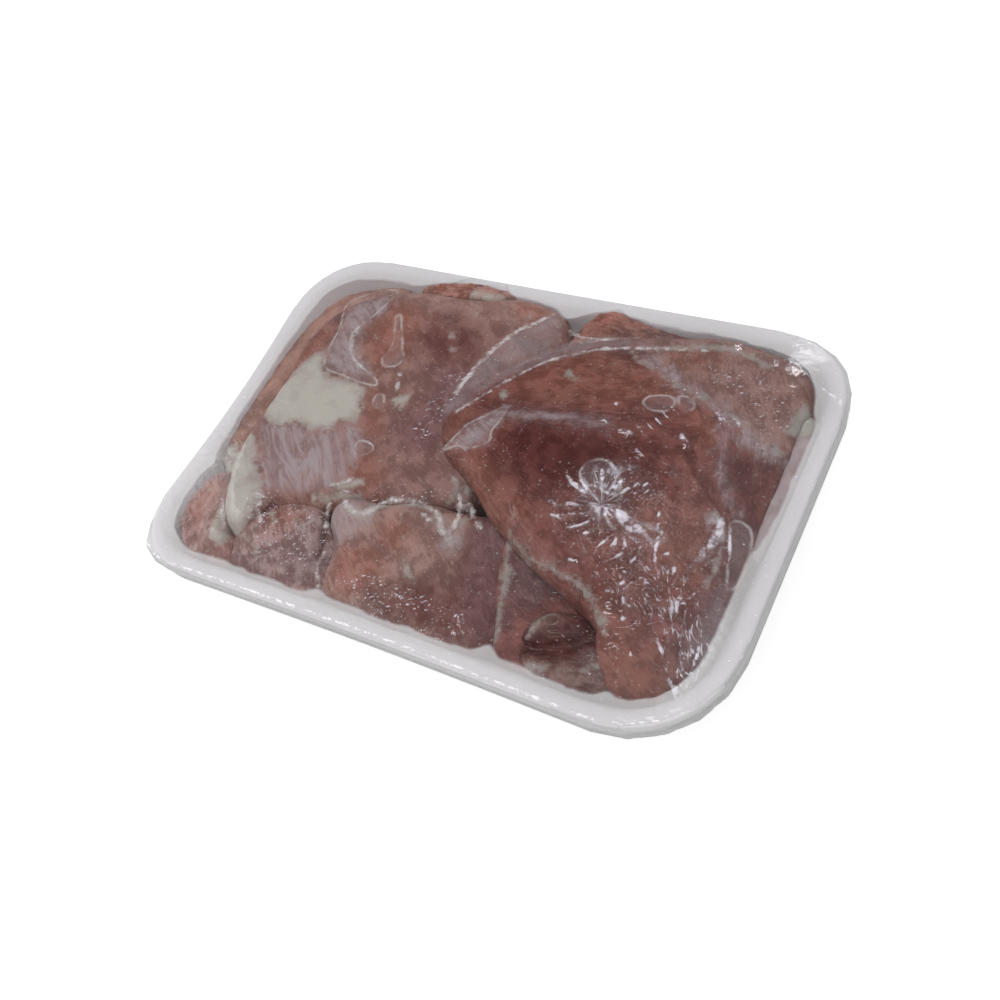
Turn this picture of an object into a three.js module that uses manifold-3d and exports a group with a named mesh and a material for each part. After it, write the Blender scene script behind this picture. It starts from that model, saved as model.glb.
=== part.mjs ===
// A shallow foam tray of raw pork steaks and trimmings under tight clear stretch film.
// Millimetres, +Z up. The origin is under the middle of the pack, on the surface it lies on.
// +X runs along the tray's long side and +Y to the side where the steaks end behind.
import * as THREE from 'three';
import { mergeVertices } from 'three/addons/utils/BufferGeometryUtils.js';
import Module from 'manifold-3d';

const wasm = await Module();
wasm.setup();

// Tray, measured at the outer edge of the film round its rim
const PACK_LENGTH = 212;
const PACK_WIDTH = 142.5;
const CORNER_RADIUS = { backRight: 28, backLeft: 28, frontLeft: 24, frontRight: 33 };
const SMALLEST_RADIUS = 4;
const RIM_TOP = 21.9;
const TRAY_BOTTOM = 0.7;
const TRAY_FLOOR = 4;
const LIP_DEPTH = 6.4;

// How far the film's tension pulls the middle of each side in
const PULL = { right: 0, back: 0.4, left: 2.4, front: 1 };
const BASE_PULL = 0.35;

// Film, drawn thicker than the real one so that it is a solid
const FILM_THICKNESS = 0.4;
const GAP = 0.35;
const FILM_SLACK = 0.6;
const FILM_OPENING_INSET = 41;

// Facets round the tray and across the film
const CORNER_STEPS = 5;
const LONG_SIDE_STEPS = 8;
const SHORT_SIDE_STEPS = 5;
const FILM_RINGS = 13;

// Grid on which the film is stretched over the meat
const CELL = 1.5;
const STRETCH_ROUNDS = 500;
const STRETCH_SPEED = 1.85;

// Points closer than this are one point, and triangles smaller than the second value are skipped
const WELD = 1e-4;
const TINY = 1e-6;

// Meat: the floor of the raw shapes before they are cut to the tray, and their facets
const RAW_FLOOR = TRAY_FLOOR - 2;
const LOWER_RINGS = [0.92, 0.6];

const COLOURS = {
  foam: 0xc9c7c6,
  film: 0xe4e6e8,
  muscle: 0x7f5a54,
  darkMuscle: 0x6a4648,
  paleMuscle: 0x8a635d,
  redMuscle: 0x7c4d46,
  fat: 0xb4aa9e,
};

// The sides counter-clockwise, each with the radius of the corner at its end
const SIDES = [
  { turn: 0, pull: PULL.right, steps: SHORT_SIDE_STEPS, radius: CORNER_RADIUS.backRight },
  { turn: Math.PI / 2, pull: PULL.back, steps: LONG_SIDE_STEPS, radius: CORNER_RADIUS.backLeft },
  { turn: Math.PI, pull: PULL.left, steps: SHORT_SIDE_STEPS, radius: CORNER_RADIUS.frontLeft },
  { turn: Math.PI * 1.5, pull: PULL.front, steps: LONG_SIDE_STEPS, radius: CORNER_RADIUS.frontRight },
];

// The tray's rounded rectangle at an inset from the rim, counter-clockwise from the +X side
function trayOutline(inset, pullShare) {
  const halfSizes = [PACK_LENGTH / 2 - inset, PACK_WIDTH / 2 - inset];
  const radiusOf = (side) => Math.max(side.radius - inset, SMALLEST_RADIUS);
  const outline = [];
  SIDES.forEach((side, index) => {
    const reach = halfSizes[index % 2];
    const halfSpan = halfSizes[(index + 1) % 2];
    const radius = radiusOf(side);
    const start = radiusOf(SIDES.at(index - 1)) - halfSpan;
    const end = halfSpan - radius;
    const place = (x, y) => outline.push(new THREE.Vector2(x, y).rotateAround(new THREE.Vector2(), side.turn));
    for (let step = 1; step < side.steps; step += 1) {
      const share = step / side.steps;
      const pull = side.pull * pullShare * Math.sin(Math.PI * share);
      place(reach - pull, THREE.MathUtils.lerp(start, end, share));
    }
    for (let step = 0; step <= CORNER_STEPS; step += 1) {
      const angle = (Math.PI / 2) * (step / CORNER_STEPS);
      place(reach - radius + radius * Math.cos(angle), end + radius * Math.sin(angle));
    }
  });
  return outline;
}

// A level ring of the tray or film; the sides straighten towards the base
function trayRing([inset, height]) {
  const pullShare = THREE.MathUtils.lerp(BASE_PULL, 1, height / RIM_TOP);
  return trayOutline(inset, pullShare).map(({ x, y }) => new THREE.Vector3(x, y, height));
}

function middleOf(ring) {
  const middle = new THREE.Vector3();
  ring.forEach((point) => middle.addScaledVector(point, 1 / ring.length));
  return middle;
}

// A closed surface through rings of equal length, its two ends closed by fans
function loft(rings, firstPole = middleOf(rings[0]), lastPole = middleOf(rings.at(-1))) {
  const points = [firstPole, ...rings.flat(), lastPole];
  const size = rings[0].length;
  const faces = [];
  const at = (ring, step) => 1 + ring * size + (step % size);
  for (let step = 0; step < size; step += 1) {
    faces.push(0, at(0, step), at(0, step + 1));
    faces.push(points.length - 1, at(rings.length - 1, step + 1), at(rings.length - 1, step));
    for (let ring = 0; ring + 1 < rings.length; ring += 1) {
      faces.push(at(ring, step), at(ring + 1, step), at(ring + 1, step + 1));
      faces.push(at(ring, step), at(ring + 1, step + 1), at(ring, step + 1));
    }
  }
  const geometry = new THREE.BufferGeometry().setFromPoints(points);
  geometry.setIndex(faces);
  return geometry;
}

function toSolid(geometry) {
  const bare = geometry.clone();
  bare.deleteAttribute('normal');
  bare.deleteAttribute('uv');
  const merged = mergeVertices(bare, WELD);
  return new wasm.Manifold(
    new wasm.Mesh({
      numProp: 3,
      vertProperties: new Float32Array(merged.attributes.position.array),
      triVerts: new Uint32Array(merged.index.array),
    }),
  );
}

function toGeometry(solid) {
  const { vertProperties, triVerts } = solid.getMesh();
  const geometry = new THREE.BufferGeometry();
  geometry.setAttribute('position', new THREE.BufferAttribute(new Float32Array(vertProperties), 3));
  geometry.setIndex(new THREE.BufferAttribute(new Uint32Array(triVerts), 1));
  return geometry;
}

// The largest body of a solid: cuts can leave loose scraps, which are dropped
function largestBody(solid) {
  const bodies = solid.decompose();
  return bodies.reduce((best, body) => (body.volume() > best.volume() ? body : best));
}

// Tray: a floor, sloping walls and a lip turned down at its edge, as rings of [inset, height]
const TRAY_INSIDE = [
  [17.5, TRAY_FLOOR],
  [14.8, TRAY_FLOOR + 0.6],
  [13.2, TRAY_FLOOR + 2],
  [8, RIM_TOP - 4.4],
  [6.2, RIM_TOP - 1.1],
  [5.2, RIM_TOP],
];
const TRAY_OUTSIDE = [
  [1.4, RIM_TOP],
  [0.75, RIM_TOP - 0.7],
  [0.75, RIM_TOP - LIP_DEPTH + 0.5],
  [2.5, RIM_TOP - LIP_DEPTH],
  [3.1, RIM_TOP - 3.2],
  [4.7, RIM_TOP - 3.6],
  [12.1, TRAY_BOTTOM],
];

function buildTray() {
  return loft([...TRAY_INSIDE, ...TRAY_OUTSIDE].map(trayRing));
}

// The room inside the tray, a gap clear of its walls and open far above them
function buildRoomInTray() {
  const wall = TRAY_INSIDE.toReversed().map(([inset, height]) => [inset + GAP, height + GAP]);
  return loft([[wall[0][0], RIM_TOP * 3], ...wall].map(trayRing));
}

// A quarter-round shoulder: 0 at the edge, 1 from one shoulder width inwards
function shoulderRise(distance, width) {
  const share = 1 - Math.min(distance / width, 1);
  return Math.sqrt(1 - share * share);
}

// Height of a piece's upper face: a level, a slope, round swells and straight grooves
function faceHeight({ level, slope = [0, 0], swells = [], grooves = [] }, x, y) {
  let height = level + slope[0] * x + slope[1] * y;
  swells.forEach(([middleX, middleY, reachX, reachY, rise]) => {
    height += rise * Math.exp(-(((x - middleX) / reachX) ** 2) - ((y - middleY) / reachY) ** 2);
  });
  const point = new THREE.Vector3(x, y, 0);
  const nearest = new THREE.Vector3();
  grooves.forEach(({ path, width, depth }) => {
    let distance = Infinity;
    for (let index = 0; index + 1 < path.length; index += 1) {
      const [start, end] = [path[index], path[index + 1]].map((place) => new THREE.Vector3(...place, 0));
      const line = new THREE.Line3(start, end);
      distance = Math.min(distance, line.closestPointToPoint(point, true, nearest).distanceTo(point));
    }
    height -= depth * Math.exp(-((distance / width) ** 2));
  });
  return height;
}

// One piece of meat: edge points [x, y, height] on a smooth closed line, a rounded shoulder
// up to its upper face, and a rounded underside that reaches below the tray's floor.
// grow makes the same shape a little larger all round, for cutting room out of its neighbours.
function meatShape({ middle, edge, face, shoulder, steps, rings }, grow = 0) {
  const edgePoints = edge.map((point) => new THREE.Vector3(...point));
  const curve = new THREE.CatmullRomCurve3(edgePoints, true, 'centripetal');
  const line = curve.getSpacedPoints(steps).slice(0, steps);
  if (THREE.ShapeUtils.isClockWise(line)) line.reverse();
  const rim = line.map((point, step) => {
    const before = line.at(step - 1);
    const after = line[(step + 1) % steps];
    const outward = new THREE.Vector3(after.y - before.y, before.x - after.x, 0).normalize();
    return point.clone().addScaledVector(outward, grow);
  });
  const centre = new THREE.Vector3(...middle, 0);
  const ringAt = (share, heightOf) =>
    rim.map((rimPoint) => {
      const spoke = new THREE.Vector3(rimPoint.x - centre.x, rimPoint.y - centre.y, 0);
      const reach = spoke.length();
      const point = spoke.multiplyScalar(share).add(centre);
      point.z = heightOf(point, rimPoint.z, (1 - share) * reach);
      return point;
    });
  const upper = (point, edgeHeight, distance) => {
    const height = faceHeight(face, point.x, point.y);
    return THREE.MathUtils.lerp(edgeHeight, height, shoulderRise(distance, shoulder)) + grow;
  };
  const lower = (point, edgeHeight, distance) =>
    THREE.MathUtils.lerp(edgeHeight, RAW_FLOOR, shoulderRise(distance, shoulder / 2));
  const shapeRings = [];
  for (let ring = 1; ring < rings; ring += 1) {
    shapeRings.push(ringAt(Math.sin((Math.PI / 2) * (ring / rings)), upper));
  }
  shapeRings.push(ringAt(1, (point, edgeHeight) => edgeHeight));
  LOWER_RINGS.forEach((share) => shapeRings.push(ringAt(share, lower)));
  const top = new THREE.Vector3(centre.x, centre.y, faceHeight(face, centre.x, centre.y) + grow);
  return loft(shapeRings, top);
}

// The pieces of meat, each laid after the ones it rests on
const MEAT = [
  {
    name: 'steak_left_under',
    colour: COLOURS.paleMuscle,
    middle: [-65, 12],
    edge: [
      [-95.5, -27, 14], [-98, -2, 16], [-98.5, 18, 16], [-97.5, 41, 15], [-92.5, 53.5, 14], [-81.5, 61, 13.5],
      [-64, 64, 12.5], [-46, 56, 9], [-35, 20, 9], [-38, -15, 9], [-60, -25, 9], [-86, -33, 12],
    ],
    face: { level: 18, swells: [[-96, 4, 9, 34, 3]] },
    shoulder: 6,
    steps: 32,
    rings: 5,
  },
  {
    name: 'steak_left',
    colour: COLOURS.paleMuscle,
    middle: [-40, 8],
    edge: [
      [-90, 30, 15], [-85, 44, 15], [-71, 55.5, 15], [-52, 60.5, 15], [-30, 62, 15], [-11, 65, 14], [3, 62, 14],
      [9, 51, 13], [12, 30, 13], [11, 8, 13], [9, -10, 14], [4, -18.5, 17], [-7, -22, 18.5], [-18, -26, 19],
      [-30, -27, 19], [-39, -32, 18], [-50, -35.5, 17], [-59, -38.5, 16.5], [-64, -47, 15], [-69, -54, 13],
      [-77, -48, 13], [-84, -36, 13], [-88.5, -20, 14], [-88, 4, 14],
    ],
    face: {
      level: 25,
      swells: [
        [-65, 4, 17, 12, 1.1], [-34, 38, 26, 18, 1], [-74, 34, 8, 10, -1.3], [10, 28, 17, 26, -5],
        [6, -12, 16, 14, -2.5],
      ],
      grooves: [{ path: [[-46, 24], [-44, 4], [-40, -14]], width: 3.5, depth: 0.9 }],
    },
    shoulder: 7.5,
    steps: 48,
    rings: 7,
  },
  {
    name: 'steak_front',
    colour: COLOURS.muscle,
    middle: [2, -46],
    edge: [
      [-34, -28.5, 18.5], [-22, -28.5, 20], [-12, -25, 20], [0, -22.5, 19.5], [10, -22, 17.5], [22, -20, 14],
      [32, -26, 13], [36, -42, 13], [38, -58, 13], [32, -65.5, 13], [16, -66.5, 13], [-2, -67, 13],
      [-14, -66, 13], [-24, -63, 13], [-29, -56, 13], [-31, -46, 14.5], [-38, -36, 16.5],
    ],
    face: { level: 24.2, swells: [[30, -34, 13, 20, -3], [-4, -48, 18, 10, 0.8]] },
    shoulder: 7,
    steps: 40,
    rings: 5,
  },
  {
    name: 'chunk_front',
    colour: COLOURS.darkMuscle,
    middle: [-47, -52],
    edge: [
      [-66, -38, 15], [-55, -34, 17], [-43, -34, 17], [-36, -38, 14], [-32, -46, 12], [-28.5, -54, 12],
      [-26, -60, 12], [-26, -66, 12], [-46, -67, 12], [-58, -66, 12], [-67, -60, 12], [-70, -50, 12],
    ],
    face: {
      level: 22,
      swells: [[-58, -44, 6, 6, 2], [-42, -44, 6, 5, 1.6], [-51, -57, 7, 5, 1.2], [-37, -57, 6, 7, -2]],
      grooves: [{ path: [[-38, -39], [-33, -47], [-32, -60]], width: 3, depth: 3 }],
    },
    shoulder: 5,
    steps: 30,
    rings: 5,
  },
  {
    name: 'chunk_corner',
    colour: COLOURS.paleMuscle,
    middle: [-79, -51],
    edge: [
      [-95.5, -35, 13], [-88, -29, 13], [-81, -36, 13], [-75, -46, 13], [-68, -54, 13], [-63, -60, 13],
      [-68, -66.5, 13], [-79, -66, 13], [-90, -60, 13], [-96.5, -47, 13],
    ],
    face: {
      level: 21.6,
      swells: [[-74, -51, 4, 6, 2], [-85, -42, 4, 5, 1]],
      grooves: [{ path: [[-86, -54], [-76, -60]], width: 2.5, depth: 1.5 }],
    },
    shoulder: 5,
    steps: 26,
    rings: 5,
  },
  {
    name: 'trim_back_left',
    colour: COLOURS.redMuscle,
    middle: [-38, 62],
    edge: [
      [-56, 59, 19], [-48, 64, 19], [-38, 66.5, 19], [-28, 66.5, 19], [-17, 64, 19], [-22, 60, 20],
      [-36, 57, 21], [-50, 56, 21],
    ],
    face: { level: 24 },
    shoulder: 3,
    steps: 26,
    rings: 4,
  },
  {
    name: 'trim_back_right',
    colour: COLOURS.redMuscle,
    middle: [32, 57],
    edge: [
      [9, 56, 15], [13, 63, 15], [20, 67.5, 15], [29, 67.5, 15], [38, 65, 14], [50, 62.5, 13], [64, 62, 13],
      [62, 52, 13], [40, 47, 13], [20, 43, 13], [9, 43, 15], [8, 50, 16],
    ],
    face: { level: 20, swells: [[22, 60.5, 9, 5.5, 5]] },
    shoulder: 4,
    steps: 30,
    rings: 5,
  },
  {
    name: 'fat_right',
    colour: COLOURS.fat,
    middle: [97, 15],
    edge: [
      [90.5, 35, 18.5], [92.5, 41.5, 18], [98.5, 40, 17], [101, 28, 16], [101.5, 8, 16], [100.5, -6, 16],
      [97.5, -12, 16], [95, -5, 17], [94.6, 12, 17.5], [93.6, 22, 17.5], [91.5, 29, 18],
    ],
    face: { level: 21.8, swells: [[94.5, 35, 5, 5, 2.2]] },
    shoulder: 2.6,
    steps: 30,
    rings: 5,
  },
  {
    name: 'flap_front',
    colour: COLOURS.muscle,
    middle: [54, -44],
    edge: [
      [25, -25, 21.6], [27.5, -36, 22], [31, -46, 22], [35, -55, 21], [40, -63, 19], [56, -67, 13],
      [74, -64, 12], [81, -48, 12], [72, -34, 13], [52, -24, 14], [36, -20, 18],
    ],
    face: { level: 27.4, slope: [-0.15, 0] },
    shoulder: 4,
    steps: 34,
    rings: 5,
  },
  {
    name: 'fold_front',
    colour: COLOURS.darkMuscle,
    middle: [59, -54],
    edge: [
      [42, -55, 18], [44.5, -60.5, 18], [52, -64.5, 17], [62, -65.5, 17], [73, -64, 16], [77, -57, 16],
      [71, -50, 17], [61, -43.5, 19], [52, -43, 20], [45, -48, 20],
    ],
    face: {
      level: 22.4,
      swells: [[53, -48, 7, 5, 1.6], [62, -61, 12, 3, 0.8]],
      grooves: [{ path: [[49, -54], [58, -56], [72, -54]], width: 2.4, depth: 1.3 }],
    },
    shoulder: 4,
    steps: 30,
    rings: 5,
  },
  {
    name: 'steak_top',
    colour: COLOURS.muscle,
    middle: [46, 2],
    edge: [
      [-14, 5, 25.5], [-11, 15, 25.8], [-5, 26, 25.5], [4, 36, 25], [13, 44, 24], [26, 51, 22.5], [42, 57, 21],
      [60, 61.5, 19], [77, 61, 17.5], [89, 56.5, 16.5], [97, 47, 16.5], [97.5, 34, 16], [97, 8, 16], [98, -12, 15],
      [98, -30, 14], [97, -45, 12], [93, -56, 11], [85, -63.5, 11], [77, -63, 13], [71, -56, 17], [67, -46.5, 21],
      [61, -42, 23], [51, -38, 24], [41, -34.5, 24.5], [32, -30, 25], [21, -24, 25.5], [11, -16, 26],
      [1, -9, 26], [-8, -4.5, 25.5],
    ],
    face: {
      level: 28.6,
      swells: [
        [44, 2, 42, 36, 7], [98, -30, 18, 34, -4.5], [88, -62, 20, 14, -5], [72, 54, 34, 13, -3],
        [94, 18, 10, 24, -3.4],
      ],
      grooves: [
        { path: [[34, 45], [48, 40], [63, 36], [77, 29], [87, 16], [89, 4]], width: 3, depth: 1.1 },
        { path: [[72, 12], [80, 3.5], [88, -4]], width: 2.4, depth: 1.9 },
      ],
    },
    shoulder: 7,
    steps: 64,
    rings: 10,
  },
];

// Cuts every piece to the room in the tray and to the pieces laid before it
function buildMeat(room) {
  const laid = [];
  return MEAT.map((piece) => {
    const raw = toSolid(meatShape(piece)).intersect(room);
    const fitted = laid.reduce((solid, earlier) => solid.subtract(earlier), raw);
    laid.push(toSolid(meatShape(piece, GAP)));
    return { piece, geometry: toGeometry(largestBody(fitted)) };
  });
}

// A square-celled grid of heights over the pack
class HeightGrid {
  constructor(level) {
    this.columns = Math.ceil(PACK_LENGTH / CELL) + 3;
    this.rows = Math.ceil(PACK_WIDTH / CELL) + 3;
    this.heights = new Float64Array(this.columns * this.rows).fill(level);
  }

  column(x) {
    return x / CELL + (this.columns - 1) / 2;
  }

  row(y) {
    return y / CELL + (this.rows - 1) / 2;
  }

  // Raises the grid to the highest point of a triangle over each cell's corner
  cover(triangle) {
    const box = new THREE.Box3().setFromPoints([triangle.a, triangle.b, triangle.c]);
    const weights = new THREE.Vector3();
    const flat = new THREE.Triangle(...[triangle.a, triangle.b, triangle.c].map((corner) => corner.clone().setZ(0)));
    if (flat.getArea() < TINY) return;
    for (let row = Math.ceil(this.row(box.min.y)); row <= this.row(box.max.y); row += 1) {
      for (let column = Math.ceil(this.column(box.min.x)); column <= this.column(box.max.x); column += 1) {
        const x = (column - (this.columns - 1) / 2) * CELL;
        const y = (row - (this.rows - 1) / 2) * CELL;
        flat.getBarycoord(new THREE.Vector3(x, y, 0), weights);
        if (Math.min(weights.x, weights.y, weights.z) < -TINY) continue;
        const height = weights.x * triangle.a.z + weights.y * triangle.b.z + weights.z * triangle.c.z;
        const index = row * this.columns + column;
        this.heights[index] = Math.max(this.heights[index], height);
      }
    }
  }

  // Each cell takes the highest of itself and its neighbours
  widen() {
    const before = this.heights.slice();
    for (let row = 1; row + 1 < this.rows; row += 1) {
      for (let column = 1; column + 1 < this.columns; column += 1) {
        const index = row * this.columns + column;
        for (const step of [-1, 1, -this.columns, this.columns]) {
          this.heights[index] = Math.max(this.heights[index], before[index + step]);
        }
      }
    }
  }

  // A tight skin from the grid's border over these heights
  stretched() {
    const skin = new HeightGrid(0);
    skin.heights = this.heights.slice();
    for (let round = 0; round < STRETCH_ROUNDS; round += 1) {
      for (let row = 1; row + 1 < this.rows; row += 1) {
        for (let column = 1; column + 1 < this.columns; column += 1) {
          const index = row * this.columns + column;
          const around = [-1, 1, -this.columns, this.columns].map((step) => skin.heights[index + step]);
          const mean = around.reduce((sum, height) => sum + height) / around.length;
          const eased = skin.heights[index] + STRETCH_SPEED * (mean - skin.heights[index]);
          skin.heights[index] = Math.max(this.heights[index], eased);
        }
      }
    }
    return skin;
  }

  at(x, y) {
    const column = Math.floor(this.column(x));
    const row = Math.floor(this.row(y));
    const right = this.column(x) - column;
    const up = this.row(y) - row;
    const corner = (rowStep, columnStep) => this.heights[(row + rowStep) * this.columns + column + columnStep];
    const low = THREE.MathUtils.lerp(corner(0, 0), corner(0, 1), right);
    const high = THREE.MathUtils.lerp(corner(1, 0), corner(1, 1), right);
    return THREE.MathUtils.lerp(low, high, up);
  }
}

function trianglesOf(geometry) {
  const { position } = geometry.attributes;
  const index = geometry.index.array;
  const triangles = [];
  for (let corner = 0; corner < index.length; corner += 3) {
    const corners = [0, 1, 2].map((step) => new THREE.Vector3().fromBufferAttribute(position, index[corner + step]));
    triangles.push(new THREE.Triangle(...corners));
  }
  return triangles;
}

// Film: outside from the middle of the top to the opening under the tray, then back inside
const FILM_SIDE = [
  [1.4, RIM_TOP + GAP + FILM_THICKNESS],
  [0.3, RIM_TOP + 0.1],
  [0, RIM_TOP - 0.8],
  [0.1, RIM_TOP - LIP_DEPTH + 0.1],
  [11, 0.7],
  [11.6, 0.15],
  [12.6, 0],
  [FILM_OPENING_INSET, 0],
];
const FILM_SIDE_INSIDE = [
  [FILM_OPENING_INSET, FILM_THICKNESS],
  [12.7, FILM_THICKNESS],
  [11.9, 0.55],
  [11.35, 0.95],
  [0.5, RIM_TOP - LIP_DEPTH],
  [0.4, RIM_TOP - 0.8],
  [0.6, RIM_TOP - 0.1],
  [1.6, RIM_TOP + GAP],
];

// How far a place lies outside the straight sides and round corners of the film's lip, negative inside them
function beyondLip(x, y, lipInset) {
  const { backRight, backLeft, frontLeft, frontRight } = CORNER_RADIUS;
  const [leftRadius, rightRadius] = y > 0 ? [backLeft, backRight] : [frontLeft, frontRight];
  const radius = x > 0 ? rightRadius : leftRadius;
  const straightX = Math.abs(x) - (PACK_LENGTH / 2 - radius);
  const straightY = Math.abs(y) - (PACK_WIDTH / 2 - radius);
  const outwards = Math.hypot(Math.max(straightX, 0), Math.max(straightY, 0));
  return Math.max(outwards, straightX, straightY) - (radius - lipInset);
}

function buildFilm(meat) {
  const rimHeight = RIM_TOP + GAP + FILM_THICKNESS;
  const obstacles = new HeightGrid(rimHeight - FILM_SLACK);
  meat.forEach(({ geometry }) => trianglesOf(geometry).forEach((triangle) => obstacles.cover(triangle)));
  obstacles.widen();
  obstacles.widen();
  obstacles.heights = obstacles.heights.map((height) => height + GAP + FILM_THICKNESS);
  const [rimInset] = FILM_SIDE[0];
  const lipInset = TRAY_INSIDE.at(-1)[0];
  for (let row = 0; row < obstacles.rows; row += 1) {
    for (let column = 0; column < obstacles.columns; column += 1) {
      const x = (column - (obstacles.columns - 1) / 2) * CELL;
      const y = (row - (obstacles.rows - 1) / 2) * CELL;
      if (beyondLip(x, y, lipInset) > 0) obstacles.heights[row * obstacles.columns + column] = rimHeight;
    }
  }
  const skin = obstacles.stretched();
  const rimRing = trayRing([rimInset, rimHeight]);
  const lipRing = trayRing([lipInset, rimHeight]);
  const shares = Array.from({ length: FILM_RINGS }, (unused, ring) => (ring + 1) / FILM_RINGS);
  const topRings = (drop) =>
    shares.map((share) =>
      lipRing.map(({ x, y }) => new THREE.Vector3(x * share, y * share, skin.at(x * share, y * share) - drop)),
    );
  const outside = [...topRings(0), rimRing, ...FILM_SIDE.slice(1).map(trayRing)];
  const inside = [...FILM_SIDE_INSIDE.map(trayRing), ...topRings(FILM_THICKNESS).toReversed()];
  const pole = (drop) => new THREE.Vector3(0, 0, skin.at(0, 0) - drop);
  return loft([...outside, ...inside], pole(0), pole(FILM_THICKNESS));
}

function namedMesh(name, geometry, colour, finish) {
  const mesh = new THREE.Mesh(geometry, new THREE.MeshStandardMaterial({ color: colour, ...finish }));
  mesh.name = name;
  return mesh;
}

const pack = new THREE.Group();
pack.add(namedMesh('tray', buildTray(), COLOURS.foam, { roughness: 0.7, metalness: 0 }));
const meat = buildMeat(toSolid(buildRoomInTray()));
meat.forEach(({ piece, geometry }) => {
  pack.add(namedMesh(piece.name, geometry, piece.colour, { roughness: 0.45, metalness: 0 }));
});
const filmFinish = { roughness: 0.1, metalness: 0, transparent: true, opacity: 0.25 };
pack.add(namedMesh('film', buildFilm(meat), COLOURS.film, filmFinish));

export default pack;
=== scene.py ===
import math

import bmesh
import bpy
import numpy as np
from mathutils import Matrix, Vector, noise
from mathutils.bvhtree import BVHTree


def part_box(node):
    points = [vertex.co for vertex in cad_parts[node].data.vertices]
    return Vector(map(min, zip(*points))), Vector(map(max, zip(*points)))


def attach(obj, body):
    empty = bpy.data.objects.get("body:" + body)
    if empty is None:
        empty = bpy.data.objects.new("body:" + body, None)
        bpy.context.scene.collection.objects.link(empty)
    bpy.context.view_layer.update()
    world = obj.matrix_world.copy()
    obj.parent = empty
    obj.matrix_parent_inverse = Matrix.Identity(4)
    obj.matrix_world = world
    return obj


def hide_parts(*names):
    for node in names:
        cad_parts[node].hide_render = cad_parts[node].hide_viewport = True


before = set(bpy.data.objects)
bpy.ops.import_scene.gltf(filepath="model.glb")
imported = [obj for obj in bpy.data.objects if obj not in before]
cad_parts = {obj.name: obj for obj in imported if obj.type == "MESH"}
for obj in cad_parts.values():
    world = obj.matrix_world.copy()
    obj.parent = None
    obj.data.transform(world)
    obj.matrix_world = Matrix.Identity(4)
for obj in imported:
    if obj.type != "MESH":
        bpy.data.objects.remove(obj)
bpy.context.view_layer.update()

bl_info = {
    "name": "Wrapped Tray of Pork Steaks",
    "version": (1, 0, 0),
    "blender": (4, 5, 0),
    "location": "View3D > Sidebar > Pork Tray",
    "description": "Dresses a foam tray of raw pork steaks under clear stretch film",
    "category": "Object",
}

MM = 0.001
FAR = 30.0


def area_mark(*points):
    """A painted place with a closed outline."""
    return {"area": list(points)}


def line_mark(half_width, *points):
    """A painted line."""
    return {"line": list(points), "half_width": half_width}


def crease_mark(height, half_width, *points):
    """A crest in the film."""
    return {"line": list(points), "height": height, "half_width": half_width}


def groove_mark(depth, half_width, *points):
    """A furrow in the meat, or a swell where its depth is negative."""
    return {"line": list(points), "depth": depth, "half_width": half_width}


# Places below are in millimetres, seen from above: x along the tray, y towards its back.

STEAK_TOP_MARKS = {
    "fat": [
        line_mark(0.6, (30, -27.6), (36, -31), (43, -33), (51, -34.8), (59, -37.4), (65, -41.4), (70, -48)),
        line_mark(0.4, (36, 46), (41, 42), (47, 40), (53, 37), (60, 34.5), (67, 33)),
        line_mark(0.4, (66, 34), (72, 31), (78, 28.5), (84, 25), (90, 24), (96, 23)),
        area_mark((92.4, 31), (95, 30), (97.4, 34), (96.6, 40), (93.6, 41), (92.6, 36)),
        line_mark(0.5, (84, -3), (88, -8), (90, -16), (90, -24)),
        line_mark(0.9, (22, 31), (24, 30), (26, 28.6)),
        line_mark(1.1, (3, 20), (4.5, 17.8)),
        line_mark(0.8, (47, 50), (58, 54), (70, 55), (80, 52)),
    ],
    "skin": [
        area_mark(
            (-6, -5), (-3, -1), (-1, 4), (3, 8.5), (8, 13),
            (9, 9), (7.5, 4), (8, 0), (3, -4), (-1, -3.6)
        ),
        line_mark(0.9, (8, 11), (15, 11), (24, 12.4), (34, 13.2), (44, 13)),
        line_mark(2.4, (44, 44), (52, 40), (60, 36), (68, 33), (76, 28), (84, 23), (93, 22)),
        line_mark(0.8, (74, 26), (78, 19), (80, 12), (84, 6), (89, 0)),
    ],
    "orange": [
        area_mark(
            (-12, 3), (-6, 8), (-3, 4), (4, -4), (18, -11), (34, -23), (22, -25), (8, -16), (-3, -9),
            (-10, -5)
        ),
        area_mark((66, -40), (76, -44), (90, -50), (86, -60), (74, -60), (68, -52)),
        area_mark((40, 38), (52, 36), (66, 24), (74, 14), (76, 20), (68, 32), (50, 40)),
        area_mark((48, 48), (60, 52), (66, 48), (54, 42)),
        area_mark((76, -6), (84, -10), (84, -24), (78, -28), (74, -16)),
        area_mark((66, -9), (72, -9), (71, -15), (66, -15)),
        area_mark((6, 26), (22, 41), (44, 40), (56, 31), (42, 22), (16, 18)),
    ],
    "bloom": [
        area_mark(
            (40, 52), (62, 61), (80, 60), (92, 50), (96, 40), (96, 27), (88, 22), (78, 28), (68, 33),
            (54, 38), (44, 43)
        ),
    ],
    "mauve": [
        area_mark((8, 8), (22, 10), (44, 11), (44, 15), (24, 16), (10, 14)),
        area_mark((90, -2), (96, -8), (97, -40), (92, -58), (86, -50), (90, -30)),
    ],
    "dark_and_shade": [
        area_mark((17, 9), (30, 10.5), (46, 10.5), (60, 7), (62, -6), (46, -13), (26, -10), (12, -1)),
        area_mark((78, 12), (84, 4), (92, -2), (95, 10), (90, 18), (82, 19)),
    ],
}

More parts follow.
